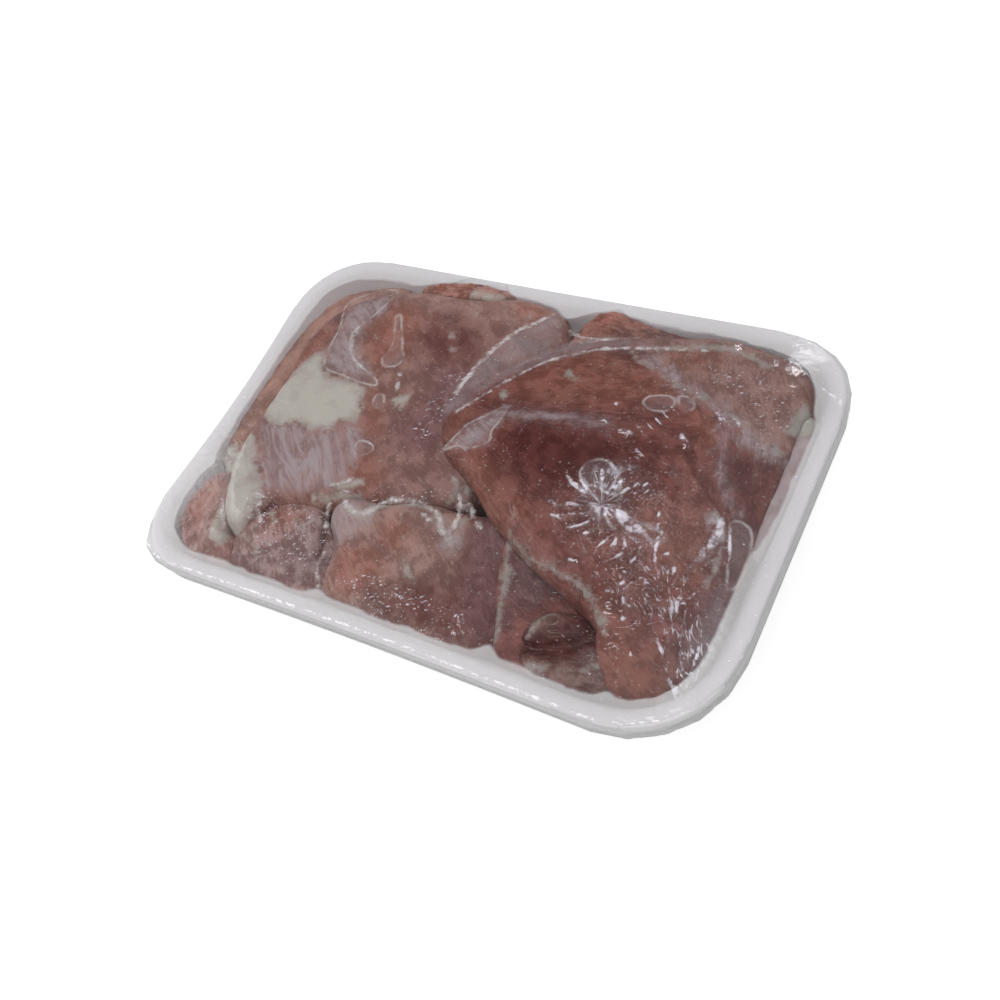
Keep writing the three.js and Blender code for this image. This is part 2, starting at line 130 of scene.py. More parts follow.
STEAK_LEFT_MARKS = {
    "fat": [
        area_mark(
            (-81, 18), (-79, 22), (-75, 21.6), (-71.5, 16), (-66, 13), (-58, 13.4), (-51, 12), (-48.6, 7),
            (-46.6, 1), (-46.4, -2.6), (-51, -4), (-53, -8), (-60, -9.6), (-67, -8.6), (-74, -10), (-80, -11),
            (-86, -6), (-88, 2), (-84, 9), (-82.6, 14)
        ),
        area_mark(
            (-90, -14), (-82, -16), (-77, -22), (-72, -29), (-66, -34), (-62.4, -38), (-64, -44), (-64, -53),
            (-72, -54), (-80, -46), (-90, -30)
        ),
        line_mark(0.8, (-46, -32), (-40, -30), (-36, -28), (-31, -26.6)),
        line_mark(0.3, (-20, -25), (-14, -23.6), (-10, -22.2)),
        line_mark(1.0, (-38, -26), (-34, -23.6), (-32, -22.6)),
        area_mark((-38, 9.6), (-36, 12), (-32.4, 14), (-31, 10.6), (-32, 7), (-35, 7.4)),
        line_mark(0.9, (-31.6, 41.6), (-29, 39.4)),
        line_mark(0.6, (-28, 35.4), (-26.4, 34.4)),
        line_mark(0.5, (-26.6, 52), (-23, 50)),
        line_mark(0.8, (-7.4, 55.8), (-6, 55)),
        line_mark(0.7, (-59, 34), (-56.4, 32)),
        line_mark(0.8, (-1.6, -11.6), (0.4, -15), (-0.6, -18.4)),
        line_mark(0.6, (2.6, -12.6), (4, -16.6)),
    ],
    "skin": [
        area_mark(
            (-78, -11), (-66, -9), (-54, -9), (-47, -2), (-42, -6), (-38, -14), (-37, -22), (-42, -29),
            (-50, -32), (-58, -34), (-64, -35), (-72, -28), (-80, -16)
        ),
        area_mark(
            (-76, 42), (-68, 50), (-62, 46), (-66, 36), (-62, 26), (-52, 18), (-60, 15), (-70, 17), (-75, 27)
        ),
    ],
    "bloom": [area_mark((-62, 60), (-30, 64), (2, 62), (-4, 53), (-30, 51), (-58, 51))],
    "orange": [
        area_mark((-38, -12), (-32, -12), (-26, -17), (-24, -25), (-32, -26), (-38, -22)),
        area_mark((-47, 10), (-42, 8), (-36, -2), (-38, -6), (-44, -2)),
        area_mark((-56, -34), (-46, -31), (-38, -30), (-46, -36), (-56, -40)),
        area_mark((-88, 16), (-84, 30), (-78, 34), (-78, 26), (-84, 12)),
        area_mark((-14, 60), (-2, 60), (-4, 52), (-12, 56)),
        area_mark((-58, 48), (-48, 46), (-44, 36), (-50, 20), (-58, 24), (-62, 36)),
    ],
    "mauve": [
        area_mark(
            (-34, 26), (-20, 27), (-13, 30), (-12, 14), (-12, 2), (-16, -6), (-24, -8), (-31, 0), (-33, 6),
            (-27, 12), (-25, 20)
        ),
    ],
    "dark_and_shade": [area_mark((-40, 46), (-24, 44), (-16, 38), (-14, 32), (-24, 27), (-36, 29), (-42, 36))],
}

STEAK_FRONT_MARKS = {
    "fat": [
        line_mark(1.1, (-36.4, -34), (-34.6, -40), (-31, -47.4), (-29.2, -55), (-25, -60)),
        line_mark(
            1.3, (-32, -32), (-27, -34), (-22.5, -33), (-19.5, -29.6), (-16.6, -27.2), (-12.6, -26),
            (-8, -25.8)
        ),
        line_mark(
            1.1, (-8, -25.8), (-3, -26.2), (2, -27.9), (4.7, -30.2), (6.3, -32.4), (8.7, -32.2), (10, -29.7),
            (10.4, -26)
        ),
        line_mark(0.4, (-6, -37), (-2, -43), (1, -47), (6, -50)),
        line_mark(0.8, (7.6, -30.6), (10.6, -32), (9.4, -34.4)),
    ],
    "skin": [
        area_mark((-38, -30), (-30, -29), (-22, -31), (-20, -36), (-24, -43), (-30, -48), (-36, -42)),
        area_mark((5.6, -30), (11, -28.6), (13, -32), (11, -36), (7, -35)),
    ],
    "orange": [
        area_mark((-24, -46), (-12, -44), (-6, -52), (-14, -60), (-24, -58)),
        area_mark((-14, -32), (-4, -34), (-6, -42), (-14, -40)),
    ],
    "mauve": [
        area_mark(
            (13, -24), (22, -22), (30, -30), (38, -50),
            (39, -58), (28, -58), (20, -50), (16, -36)
        ),
    ],
    # Painted shade below and beside the top steak's edge.
    "dark_and_shade": [area_mark((14, -22), (26, -24), (38, -48), (38, -62), (4, -64), (-6, -58), (4, -50), (16, -44))],
}

FLAP_MARKS = {
    "fat": [line_mark(0.9, (27, -27), (29, -33), (32, -40), (34, -47), (36.6, -54), (38, -61))],
    "mauve": [area_mark((28, -24), (46, -30), (42, -48), (38, -58), (32, -44))],
    # Painted shade under the top steak's overhanging edge.
    "dark_and_shade": [
        area_mark(
            (30, -27), (44, -32), (60, -39), (72, -48),
            (72, -60), (60, -50), (46, -42), (34, -36)
        ),
    ],
}

FOLD_MARKS = {
    "fat": [
        line_mark(0.9, (42.5, -57), (44, -60), (47, -62), (51, -62), (56, -60.6)),
        line_mark(0.4, (60, -60), (66, -58), (70, -54)),
        line_mark(0.4, (46.5, -53), (47.6, -49), (49.6, -45)),
    ],
    "bloom": [
        area_mark((43, -60), (54, -57.6), (61, -56.4), (69, -52), (73, -58), (66, -63), (50, -64)),
        area_mark((47, -52), (49, -46), (52, -44), (53, -46), (50, -51)),
    ],
    # Painted shade in the fold and under the top steak's edge.
    "dark_and_shade": [
        area_mark(
            (46, -57.4), (54, -56.4), (60, -54.4), (66, -50), (74, -50), (72, -43), (66, -42), (60, -49),
            (54, -52.4), (47, -54)
        ),
    ],
}

SLICE_MARKS = {
    "fat": [area_mark((-96, -21), (-90, -20), (-84, -28), (-86, -34), (-93, -32))],
}

CHUNK_FRONT_MARKS = {
    "fat": [
        line_mark(0.8, (-62, -44), (-58, -42), (-54, -45)),
        line_mark(0.5, (-48, -42), (-44, -44), (-42, -40)),
        line_mark(0.6, (-64, -52), (-58, -54), (-54, -58)),
    ],
    "orange": [area_mark((-60, -38), (-46, -38), (-48, -46), (-58, -46))],
}

CHUNK_CORNER_MARKS = {
    "fat": [
        area_mark((-79, -42), (-76, -45), (-73, -51), (-69, -54), (-71, -58), (-76, -57), (-78.6, -50)),
        line_mark(0.5, (-82, -62), (-74, -61)),
    ],
    "skin": [area_mark((-96, -30), (-87, -30), (-89, -38), (-95, -42))],
    "orange": [area_mark((-92, -40), (-84, -36), (-84, -52), (-90, -50))],
}

TRIM_LEFT_MARKS = {
    "fat": [line_mark(1.8, (-32, 61), (-26, 60), (-18, 60))],
    "orange": [area_mark((-54, 66), (-36, 66), (-36, 58), (-54, 58))],
}

TRIM_RIGHT_MARKS = {
    "fat": [line_mark(1.0, (10, 52), (16, 52), (26, 54), (40, 57), (52, 58))],
    "orange": [area_mark((8, 66), (30, 66), (34, 60), (26, 54), (10, 55))],
    "mauve": [area_mark((34, 62), (62, 61), (62, 57), (40, 57))],
}

# Muscles: the angle in degrees at which each one's fibres run, and its outline where a piece has several.
STEAK_TOP_MUSCLES = [
    {"angle": -62, "area": [
        (40, 50), (62, 60), (84, 58), (96, 42), (96, 24), (88, 21), (78, 28), (68, 33), (54, 37)
    ]},
    {"angle": -68, "area": [
        (74, 30), (80, 27), (88, 22), (96, 20), (96, 0), (88, -4), (80, 2), (72, 12), (71, 22)
    ]},
    {"angle": 8, "area": [(-10, 10), (8, 36), (36, 46), (56, 36), (70, 24), (62, 8), (20, 9)]},
]

STEAK_LEFT_MUSCLES = [
    {"angle": -47, "area": [(-80, -8), (-60, -8), (-40, -4), (-36, -24), (-50, -34), (-66, -36), (-82, -22)]},
]

FILM_BUBBLES = {
    "keyhole": [
        (-56, 44), (-53.4, 43.4), (-50, 38), (-46.6, 33), (-44.6, 29.4), (-42.6, 27), (-42.6, 23.4),
        (-45.4, 21.6), (-48.6, 22), (-50.6, 25), (-49.6, 28), (-50.6, 33), (-54, 40)
    ],
    "left wall": [
        (-80, 46), (-70, 54), (-62, 55), (-64, 44), (-68, 36), (-68.6, 31), (-65, 25), (-61, 21.6),
        (-55, 18.6), (-48, 15.6), (-46, 13), (-52, 12.8), (-62, 14), (-70, 15.4), (-74, 22), (-76, 34)
    ],
    "small left": [(-43, 10), (-40.6, 9.6), (-39, 7), (-40, 4.6), (-42.4, 5), (-43.6, 7.6)],
    "small low": [(-40, -9.6), (-36, -8.8), (-33, -10.6), (-34.6, -13.8), (-38.6, -14)],
    "tip": [(-6, -6), (-4, -1), (-2, 4), (3, 8.6), (8, 13.4), (9, 9), (8, 3), (9, -1), (3, -4.6), (-1, -4)],
    "loop back": [(52, 28), (57, 30), (60, 28), (59, 24), (54, 23), (51, 25)],
    "loop seam": [(60, 31), (64, 31), (66, 28), (64.6, 25.6), (62, 27)],
    "lobe": [(45, -1), (50, 1), (56, -3), (57.6, -8), (54, -9), (51, -8), (47, -8.4), (44, -5)],
    "finger": [(89.6, -4), (92.4, -13), (94.4, -21.4), (96, -22.8), (97.4, -20), (97.2, -12), (95, -4)],
}

FILM_MIST = {
    "bridge": [
        (2, 58), (8, 50), (9, 42), (3, 35), (-2, 29), (-7, 20), (-10, 10), (-13, 6), (-15, 14), (-14, 24),
        (-12, 34), (-8, 44), (-3, 52)
    ],
    "edge": [
        (-9, 8), (-4, 16), (2, 24), (10, 32), (20, 38), (32, 44), (46, 48), (34, 51), (20, 47), (10, 41),
        (1, 32), (-6, 22), (-10, 12)
    ],
    "right": [(96, -24), (93, -26), (92, -40), (93, -54), (90, -60), (96, -52), (98.4, -38)],
}

FILM_MILK = [
    line_mark(0.7, (0.6, 57), (-3, 52), (-6, 48), (-9, 42), (-11, 36), (-12.6, 30), (-13.6, 22), (-14, 16)),
    line_mark(0.34, (-9, 8), (-5.6, 13), (-2, 18), (4, 26), (10, 32.6), (18, 38), (28, 43.6)),
    line_mark(0.5, (28, 43.6), (36, 46.6), (48, 50), (60, 52.4)),
    line_mark(0.5, (12, 51), (16, 48.6), (22, 48), (30, 50)),
    line_mark(0.35, (-39.6, 20), (-38.6, 16), (-37, 12.8)),
    line_mark(0.3, (-68, 36), (-67, 30), (-62, 22.6), (-55, 18.6)),
    line_mark(0.7, (7, -20), (9.4, -23.6)),
    line_mark(0.6, (-40, -27), (-36.6, -24.8), (-34, -22.6)),
    line_mark(
        0.8, (-33, -31), (-28, -33.6), (-24, -33.6), (-20.9, -31.8), (-18.6, -28.6), (-16, -26.7),
        (-12.6, -25.4)
    ),
    line_mark(
        0.7, (-12.6, -25.4), (-9.4, -25), (-4.4, -25), (1.9, -27), (4.9, -30), (6.3, -32), (8.5, -32),
        (9.9, -29.7), (10.3, -26)
    ),
    line_mark(0.5, (-37, -33), (-35.6, -38), (-33, -43)),
    line_mark(0.5, (-63, -38), (-61.6, -43), (-58, -47)),
    line_mark(0.5, (-30, -50), (-29, -56), (-26, -60)),
    line_mark(0.5, (-78, -43), (-74.6, -48), (-71, -53)),
    line_mark(0.8, (12, -22.6), (15, -25)),
    line_mark(0.7, (17, -27), (19.4, -27.6)),
    line_mark(0.5, (-3, -28), (0, -29.6)),
]

# Places of painted reflection: the film's glare at the pucker and along a crease.
FILM_GLARE = {
    "pucker": [
        (47, -4), (50, -1), (55, 2), (59, 0), (58, -8), (61, -12), (67, -13.6), (74, -15), (74, -19.6),
        (64, -19), (56, -18), (49.6, -15), (46, -10)
    ],
    "crease": [(84, -3), (87.6, -5), (89, -12), (87.6, -18.6), (84.4, -19.6), (85, -12), (83, -6)],
}

FILM_CRINKLED = [
    (36, -2), (48, 4), (62, 2), (72, -4), (84, -1), (92, -8), (94, -24), (90, -40), (80, -42), (70, -38),
    (58, -29), (44, -24), (36, -14)
]
FILM_FOLDED = [(74, -22), (84, -24), (92, -30), (97, -44), (93, -56), (86, -50), (78, -38), (72, -28)]

# Places of dew, where the finish paints glints as pale specks on the film.
FILM_DEW_GLINTS = {
    "middle": [(-22, 26), (-14, 28), (-12, 10), (-14, -6), (-22, -4), (-24, 14)],
    "left fat": [(-66, -34), (-56, -34), (-54, -42), (-62, -46), (-68, -52), (-72, -46)],
    "seam": [(-36, -30), (-20, -30), (2, -24), (6, -18), (-4, -19), (-20, -24), (-36, -25)],
    "tip": [(46, 42), (58, 38), (70, 32), (68, 28), (58, 33), (46, 38)],
    "front": [(-16, -52), (-4, -50), (12, -52), (26, -52), (24, -60), (8, -63), (-12, -62), (-20, -58)],
    "lumps": [(-64, -38), (-46, -36), (-34, -38), (-28, -50), (-36, -60), (-56, -58)],
    "back muscle": [(62, 46), (78, 50), (92, 40), (92, 24), (80, 30), (68, 36)],
}

# Creases: a crest line, its height and its half width. The first group runs out of the pucker.
FILM_CREASES = [
    crease_mark(1.1, 1.9, (49, -12), (54, -14.6), (60, -14), (66, -16.6), (73, -17)),
    crease_mark(0.7, 0.8, (51, -13), (47, -10.6), (43, -8.6), (39, -6)),
    crease_mark(0.5, 0.5, (50, -11), (46, -8), (43, -6.6)),
    crease_mark(0.7, 0.7, (51, -14.6), (45, -15.4), (41, -16.6), (36, -15)),
    crease_mark(0.6, 0.7, (53, -16), (48, -18), (43, -20), (38, -20)),
    crease_mark(0.6, 0.6, (54, -17.4), (51, -20.6), (46, -23)),
    crease_mark(0.6, 0.6, (57, -17.6), (55, -21), (51, -24)),
    crease_mark(0.9, 0.8, (54, -11), (56, -6), (58, -3)),
    crease_mark(0.8, 0.9, (50, -9.6), (51, -5), (50, -1)),
    crease_mark(0.6, 0.6, (57, -10), (60, -5), (63, -2)),
    crease_mark(0.6, 0.45, (61.6, -19), (59.6, -23), (57.4, -27)),
    crease_mark(0.9, 0.7, (62, -18.6), (62.6, -23), (61.6, -27.6)),
    crease_mark(0.7, 0.7, (64, -19), (65.6, -23.6), (63.6, -28)),
    crease_mark(0.8, 0.5, (69.6, -20), (70, -24), (68.6, -27.6)),
    crease_mark(0.6, 0.5, (71.6, -7), (71, -11), (73, -16)),
    crease_mark(1.0, 0.6, (74, -12), (73.6, -18), (75, -23), (77.6, -28.6)),
    crease_mark(0.8, 0.55, (78, -29), (73, -30), (71, -34), (71.6, -38), (76, -38)),
    crease_mark(0.6, 0.5, (66, -29.6), (69, -30), (69, -33), (66, -33.6)),
    crease_mark(0.6, 0.6, (76, -21), (78.4, -20)),
    crease_mark(0.6, 0.7, (80, -22), (81.4, -26)),
    crease_mark(1.2, 1.4, (86.6, -2), (87.4, -8), (86.6, -14), (85, -19)),
    crease_mark(0.6, 0.5, (90, -5), (91.6, -11), (93.6, -17)),
    crease_mark(0.9, 0.6, (83.6, -27), (85, -33), (86.6, -38.6)),
    crease_mark(0.5, 0.5, (88.6, -27), (86, -31)),
    crease_mark(0.7, 0.6, (78.6, -31), (81.6, -37), (85, -41), (88, -46)),
    crease_mark(0.6, 0.5, (81, -41), (85, -45.6), (88.6, -50)),
    crease_mark(0.6, 0.5, (87, -38), (90, -43), (93, -49)),
    crease_mark(0.7, 0.5, (93.6, -40), (94.6, -44), (94.6, -48)),
    crease_mark(0.5, 0.45, (89, -42), (91.6, -48), (93.4, -52)),
    crease_mark(0.8, 0.8, (48, 11.6), (51, 12.6), (54.6, 12)),
    crease_mark(0.4, 0.4, (41, 13), (43, 14.4), (45, 13)),
    crease_mark(0.7, 0.9, (66, 18), (68, 15.4), (70.4, 13)),
    crease_mark(0.4, 0.6, (42.6, 22.6), (44, 21)),
    crease_mark(0.4, 0.7, (51, -31), (54, -31.6)),
    crease_mark(0.4, 0.6, (65, -36), (67, -36.6)),
    crease_mark(0.4, 0.6, (72, -41), (73.6, -43)),
    crease_mark(0.4, 0.6, (78, -50), (79, -51)),
    crease_mark(0.4, 0.4, (23, -54), (24, -57)),
    crease_mark(0.6, 0.6, (96, 50), (99, 49), (103.6, 48.6)),
    crease_mark(0.5, 0.5, (101.6, 51.6), (103.4, 47), (104.4, 43)),
    crease_mark(0.5, 0.6, (70, 31), (74, 27.6), (77, 23)),
    crease_mark(0.5, 0.5, (76, 29), (80, 27), (84, 23)),
]

FILM_TICKS = {
    "back": {"start": (51.6, 16.6), "step": (1.6, 2.6), "count": 5, "run": (6.4, -4.4)},
    "middle": {"start": (55.4, 7.6), "step": (0.9, -2.5), "count": 4, "run": (3.6, -1.2)},
    "lobe side": {"start": (61.6, -3), "step": (1.3, -1.6), "count": 4, "run": (1.6, 3.2)},
}

FILM_BEADS = [
    (53, 38.4, 0.9), (58.6, 35.6, 0.8), (64.8, 32.6, 0.9), (70, 28.4, 0.8), (74, 33, 0.8), (75.4, 26, 0.9),
    (64.6, 14.6, 0.7), (64.8, -10.6, 1.5), (87.4, -21.8, 1.7), (61, 25, 0.6), (8, -21, 0.9),
    (13.4, -23.6, 1.1), (17.4, -26.8, 0.9), (10.6, -26, 0.8), (-1, -15.6, 1.0), (-44, -42, 0.7),
    (-38, -45, 0.7), (-2, -57, 0.6), (5, -56, 0.7), (11, -55, 0.6), (17, -58, 0.7), (-8, -60, 0.6),
    (-4, -61.6, 0.7), (36.6, -49, 0.8), (-5.6, 0, 0.8), (43.4, 21.6, 0.7), (66.4, -6, 0.8), (77, -20, 0.8)
]


def colour_property(name, description, default):
    return bpy.props.FloatVectorProperty(
        name=name, description=description, default=default, subtype="COLOR", size=3, min=0, max=1
    )


def length_property(name, description, default):
    return bpy.props.FloatProperty(
        name=name, description=description, default=default,
        subtype="DISTANCE", unit="LENGTH", min=0, precision=5,
    )


def number_property(name, description, default):
    return bpy.props.FloatProperty(name=name, description=description, default=default, min=0)


class PorkColours(bpy.types.PropertyGroup):
    """Colours of the meat, without the film's veil."""

    # The dark lean also serves as painted shade under and beside overhanging pieces.
    dark: colour_property("Dark lean", "Darkest muscle, where the film clings", (0.108, 0.020, 0.018))
    orange: colour_property("Brown lean", "Browned, drier muscle", (0.315, 0.125, 0.088))
    bloom: colour_property("Greyed lean", "Paler, drier muscle", (0.380, 0.238, 0.205))
    mauve: colour_property("Mauve lean", "Muscle with a bluish bloom", (0.195, 0.098, 0.098))
    fat: colour_property("Fat", "Cream fat", (0.475, 0.455, 0.405))
    fat_shade: colour_property("Shaded fat", "Greyer, translucent fat", (0.385, 0.335, 0.300))
    skin: colour_property("Silver skin", "Bluish grey membrane on muscle", (0.390, 0.325, 0.335))
    foam: colour_property("Foam", "White polystyrene foam", (0.700, 0.690, 0.700))
    fog: colour_property("Fogged film", "Film over damp air", (0.360, 0.310, 0.325))
    milk: colour_property("Milky film", "Film over a line of foam or liquid", (0.520, 0.480, 0.470))
    # The glare colour paints the film's reflections and highlights.
    glare: colour_property("Glare", "Film that throws the light back", (0.650, 0.625, 0.690))


class PackSizes(bpy.types.PropertyGroup):
    """Sizes of the dressing, in metres."""

    steak_cell: length_property("Steak cell", "Mesh cell of the large steaks", 0.8 * MM)
    trim_cell: length_property("Trimming cell", "Mesh cell of the small pieces", 0.6 * MM)
    film_gap: length_property("Film gap", "Room between the film and what it touches", 0.22 * MM)
    foam_growth: length_property("Foam growth", "How far the foam's outer side meets the film", 0.45 * MM)
    crease_scale: number_property("Crease height", "Scales every crease of the film", 0.7)


class StageSettings(bpy.types.PropertyGroup):
    """Camera and lights."""

    lens: number_property("Lens", "Focal length on a 36 mm sensor, in millimetres", 41.03)
    key: number_property("Key light", "Radiance of the small lamps", 15.0)
    fill: number_property("Fill light", "Radiance of the fill lights", 1.2)
    sky: number_property("Sky", "Strength of the surrounding light", 1.0)


def curve(points, closed=False, steps=6):
    """Points of a smooth curve through the given ones."""
    points = np.array(points, float)
    if len(points) < 3:
        return points
    if closed:
        padded = np.vstack([points[-1:], points, points[:2]])
    else:
        padded = np.vstack([2 * points[0] - points[1], points, 2 * points[-1] - points[-2]])
    shares = np.linspace(0, 1, steps, endpoint=False)[:, None]
    runs = []
    for a, b, c, d in zip(padded, padded[1:], padded[2:], padded[3:]):
        bend = (2 * a - 5 * b + 4 * c - d) * shares**2 + (3 * b - a - 3 * c + d) * shares**3
        runs.append(b + 0.5 * ((c - a) * shares + bend))
    runs.append(padded[-2][None] if not closed else points[:1])
    return np.vstack(runs)


def distance_to_line(places, line):
    """Distance from each place to a line, and the share of its length at which the nearest point lies."""
    best = np.full(len(places), np.inf)
    along = np.zeros(len(places))
    lengths = np.maximum(np.linalg.norm(np.diff(line, axis=0), axis=1), 1e-6)
    walked = 0.0
    for start, end, length in zip(line[:-1], line[1:], lengths):
        run = end - start
        share = np.clip((places - start) @ run / length**2, 0, 1)
        distance = np.linalg.norm(places - start - share[:, None] * run, axis=1)
        nearer = distance < best
        best[nearer] = distance[nearer]
        along[nearer] = (walked + share[nearer] * length) / lengths.sum()
        walked += length
    return best, along


def inside(places, outline):
    """Whether each place lies inside a closed outline."""
    within = np.zeros(len(places), bool)
    x, y = places.T
    for (x1, y1), (x2, y2) in zip(outline[:-1], outline[1:]):
        if y1 != y2:
            crosses = ((y1 > y) != (y2 > y)) & (x < x1 + (y - y1) * (x2 - x1) / (y2 - y1))
            within ^= crosses
    return within


def near(places, line, reach):
    """Indices of the places within reach of a line's box."""
    low = line.min(0) - reach
    high = line.max(0) + reach
    return np.flatnonzero(np.all((places > low) & (places < high), axis=1))


def area_distance(places, outline):
    """Distance from each place to a closed smooth outline, negative inside it, and at most FAR."""
    line = curve(outline, closed=True)
    result = np.full(len(places), FAR)
    picked = near(places, line, FAR)
    distance = np.minimum(distance_to_line(places[picked], line)[0], FAR)
    result[picked] = np.where(inside(places[picked], line), -distance, distance)
    return result


def band_distance(places, points, half_width):
    """Distance from each place to a band along a smooth line, negative inside it."""
    line = curve(points)
    result = np.full(len(places), FAR)
    picked = near(places, line, FAR)
    result[picked] = np.minimum(distance_to_line(places[picked], line)[0] - half_width, FAR)
    return result


def mark_distance(places, marks):
    """Distance from each place to the nearest of some marks, negative inside one."""
    result = np.full(len(places), FAR)
    for mark in marks:
        if "area" in mark:
            distance = area_distance(places, mark["area"])
        else:
            distance = band_distance(places, mark["line"], mark["half_width"])
        result = np.minimum(result, distance)
    return result


def smooth_step(values, low, high):
    share = np.clip((values - low) / (high - low), 0, 1)
    return share * share * (3 - 2 * share)


def lumps(places, size, octaves=2, seed=0.0):
    """Soft noise between about -1 and 1 at each place, its lumps about size across."""
    shift = Vector((seed, 2 * seed, 3 * seed))
    return np.array([noise.fractal(Vector(p) / size + shift, 1.0, 2.0, octaves) for p in places])


class Wire:
    """A shader socket that can stand in sums and products."""

    def __init__(self, finish, socket):
        self.finish = finish
        self.socket = socket

    def maths(self, operation, first, second):
        return self.finish.node("ShaderNodeMath", {"operation": operation}, {0: first, 1: second})

    def __add__(self, other):
        return self.maths("ADD", self, other)

    def __sub__(self, other):
        return self.maths("SUBTRACT", self, other)

    def __mul__(self, other):
        return self.maths("MULTIPLY", self, other)

    def absolute(self):
        return self.maths("ABSOLUTE", self, 0)


class Finish:
    """A material under construction."""

    def __init__(self, name):
        self.material = bpy.data.materials.new(name)
        self.material.use_nodes = True
        self.tree = self.material.node_tree
        self.tree.nodes.clear()

    def node(self, kind, settings=None, sockets=None, output=0):
        """Adds a node: its settings first, then the values or links of its sockets."""
        made = self.tree.nodes.new(kind)
        for key, value in (settings or {}).items():
            if key == "stops":
                for element, (place, colour) in zip(made.color_ramp.elements, value):
                    element.position = place
                    element.color = colour
            else:
                setattr(made, key, value)
        for key, value in (sockets or {}).items():
            if isinstance(value, Wire):
                self.tree.links.new(value.socket, made.inputs[key])
            else:
                made.inputs[key].default_value = value
        return Wire(self, made.outputs[output])

    def place(self):
        """Object coordinates in millimetres."""
        metres = self.node("ShaderNodeTexCoord", output="Object")
        return self.scaled(metres, (1 / MM, 1 / MM, 1 / MM))

    def scaled(self, vector, factors):
        return self.node("ShaderNodeVectorMath", {"operation": "MULTIPLY"}, {0: vector, 1: factors})

    def turned(self, vector, degrees):
        """A vector turned about Z."""
        sockets = {"Vector": vector, "Angle": math.radians(degrees)}
        return self.node("ShaderNodeVectorRotate", {"rotation_type": "Z_AXIS"}, sockets)

    def spokes(self, vector, centre, around, outwards):
        """Places in which noise runs in spokes away from a centre."""
        arm = self.node("ShaderNodeVectorMath", {"operation": "SUBTRACT"}, {0: vector, 1: centre})
        arm = self.scaled(arm, (1, 1, 0))
        reach = self.node("ShaderNodeVectorMath", {"operation": "LENGTH"}, {0: arm}, output="Value")
        direction = self.node("ShaderNodeVectorMath", {"operation": "NORMALIZE"}, {0: arm})
        rise = self.node("ShaderNodeCombineXYZ", None, {"Z": reach * outwards})
        spoke = self.scaled(direction, (around, around, 0))
        return self.node("ShaderNodeVectorMath", {"operation": "ADD"}, {0: spoke, 1: rise})

    def ridges(self, value, width):
        """Narrow crests where a noise value passes its middle."""
        return self.ramp((value - 0.5).absolute(), 0.0, width, 1, 0)

    def attribute(self, name, output="Fac"):
        return self.node("ShaderNodeAttribute", {"attribute_name": name}, output=output)

    def noise(self, vector, scale, detail=2.0, roughness=0.5, distortion=0.0):
        sockets = {"Vector": vector, "Scale": scale, "Detail": detail}
        sockets |= {"Roughness": roughness, "Distortion": distortion}
        return self.node("ShaderNodeTexNoise", {"noise_dimensions": "3D"}, sockets)

    def cells(self, vector, scale, feature="F1"):
        return self.node("ShaderNodeTexVoronoi", {"feature": feature}, {"Vector": vector, "Scale": scale})

    def ramp(self, value, low, high, start=0.0, end=1.0):
        """A smooth change from start to end while value goes from low to high."""
        sockets = {"Value": value, "From Min": low, "From Max": high, "To Min": start, "To Max": end}
        return self.node("ShaderNodeMapRange", {"interpolation_type": "SMOOTHSTEP"}, sockets)

    def mix(self, factor, first, second):
        """A colour between two, by factor."""
        first = first if isinstance(first, Wire) else (*first, 1)
        second = second if isinstance(second, Wire) else (*second, 1)
        return self.node("ShaderNodeMix", {"data_type": "RGBA"}, {0: factor, 6: first, 7: second}, output=2)

    def product(self, first, second):
        """Two colours multiplied."""
        settings = {"data_type": "RGBA", "blend_type": "MULTIPLY"}
        return self.node("ShaderNodeMix", settings, {0: 1.0, 6: first, 7: second}, output=2)

    def bump(self, height, distance, strength=1.0):
        sockets = {"Height": height, "Distance": distance, "Strength": strength}
        return self.node("ShaderNodeBump", None, sockets)

    def surface(self, shader):
        """Ends the material with a shader as its surface."""
        output = self.tree.nodes.new("ShaderNodeOutputMaterial")
        self.tree.links.new(shader.socket, output.inputs["Surface"])
        return self.material


def shaded(colour, factor):
    return tuple(factor * value for value in colour)


DARK_DROP = (0.46, 0.58, 0.58)
LIGHT_GAIN = (0.42, 0.62, 0.66)
GROUND_SHADES = (0.84, 1.14)
SCATTER_WEIGHT = 0.1
SCATTER_RADIUS = (1.0, 0.4, 0.25)
SCATTER_DEPTH = 1.2
MEAT_RELIEF = 0.6


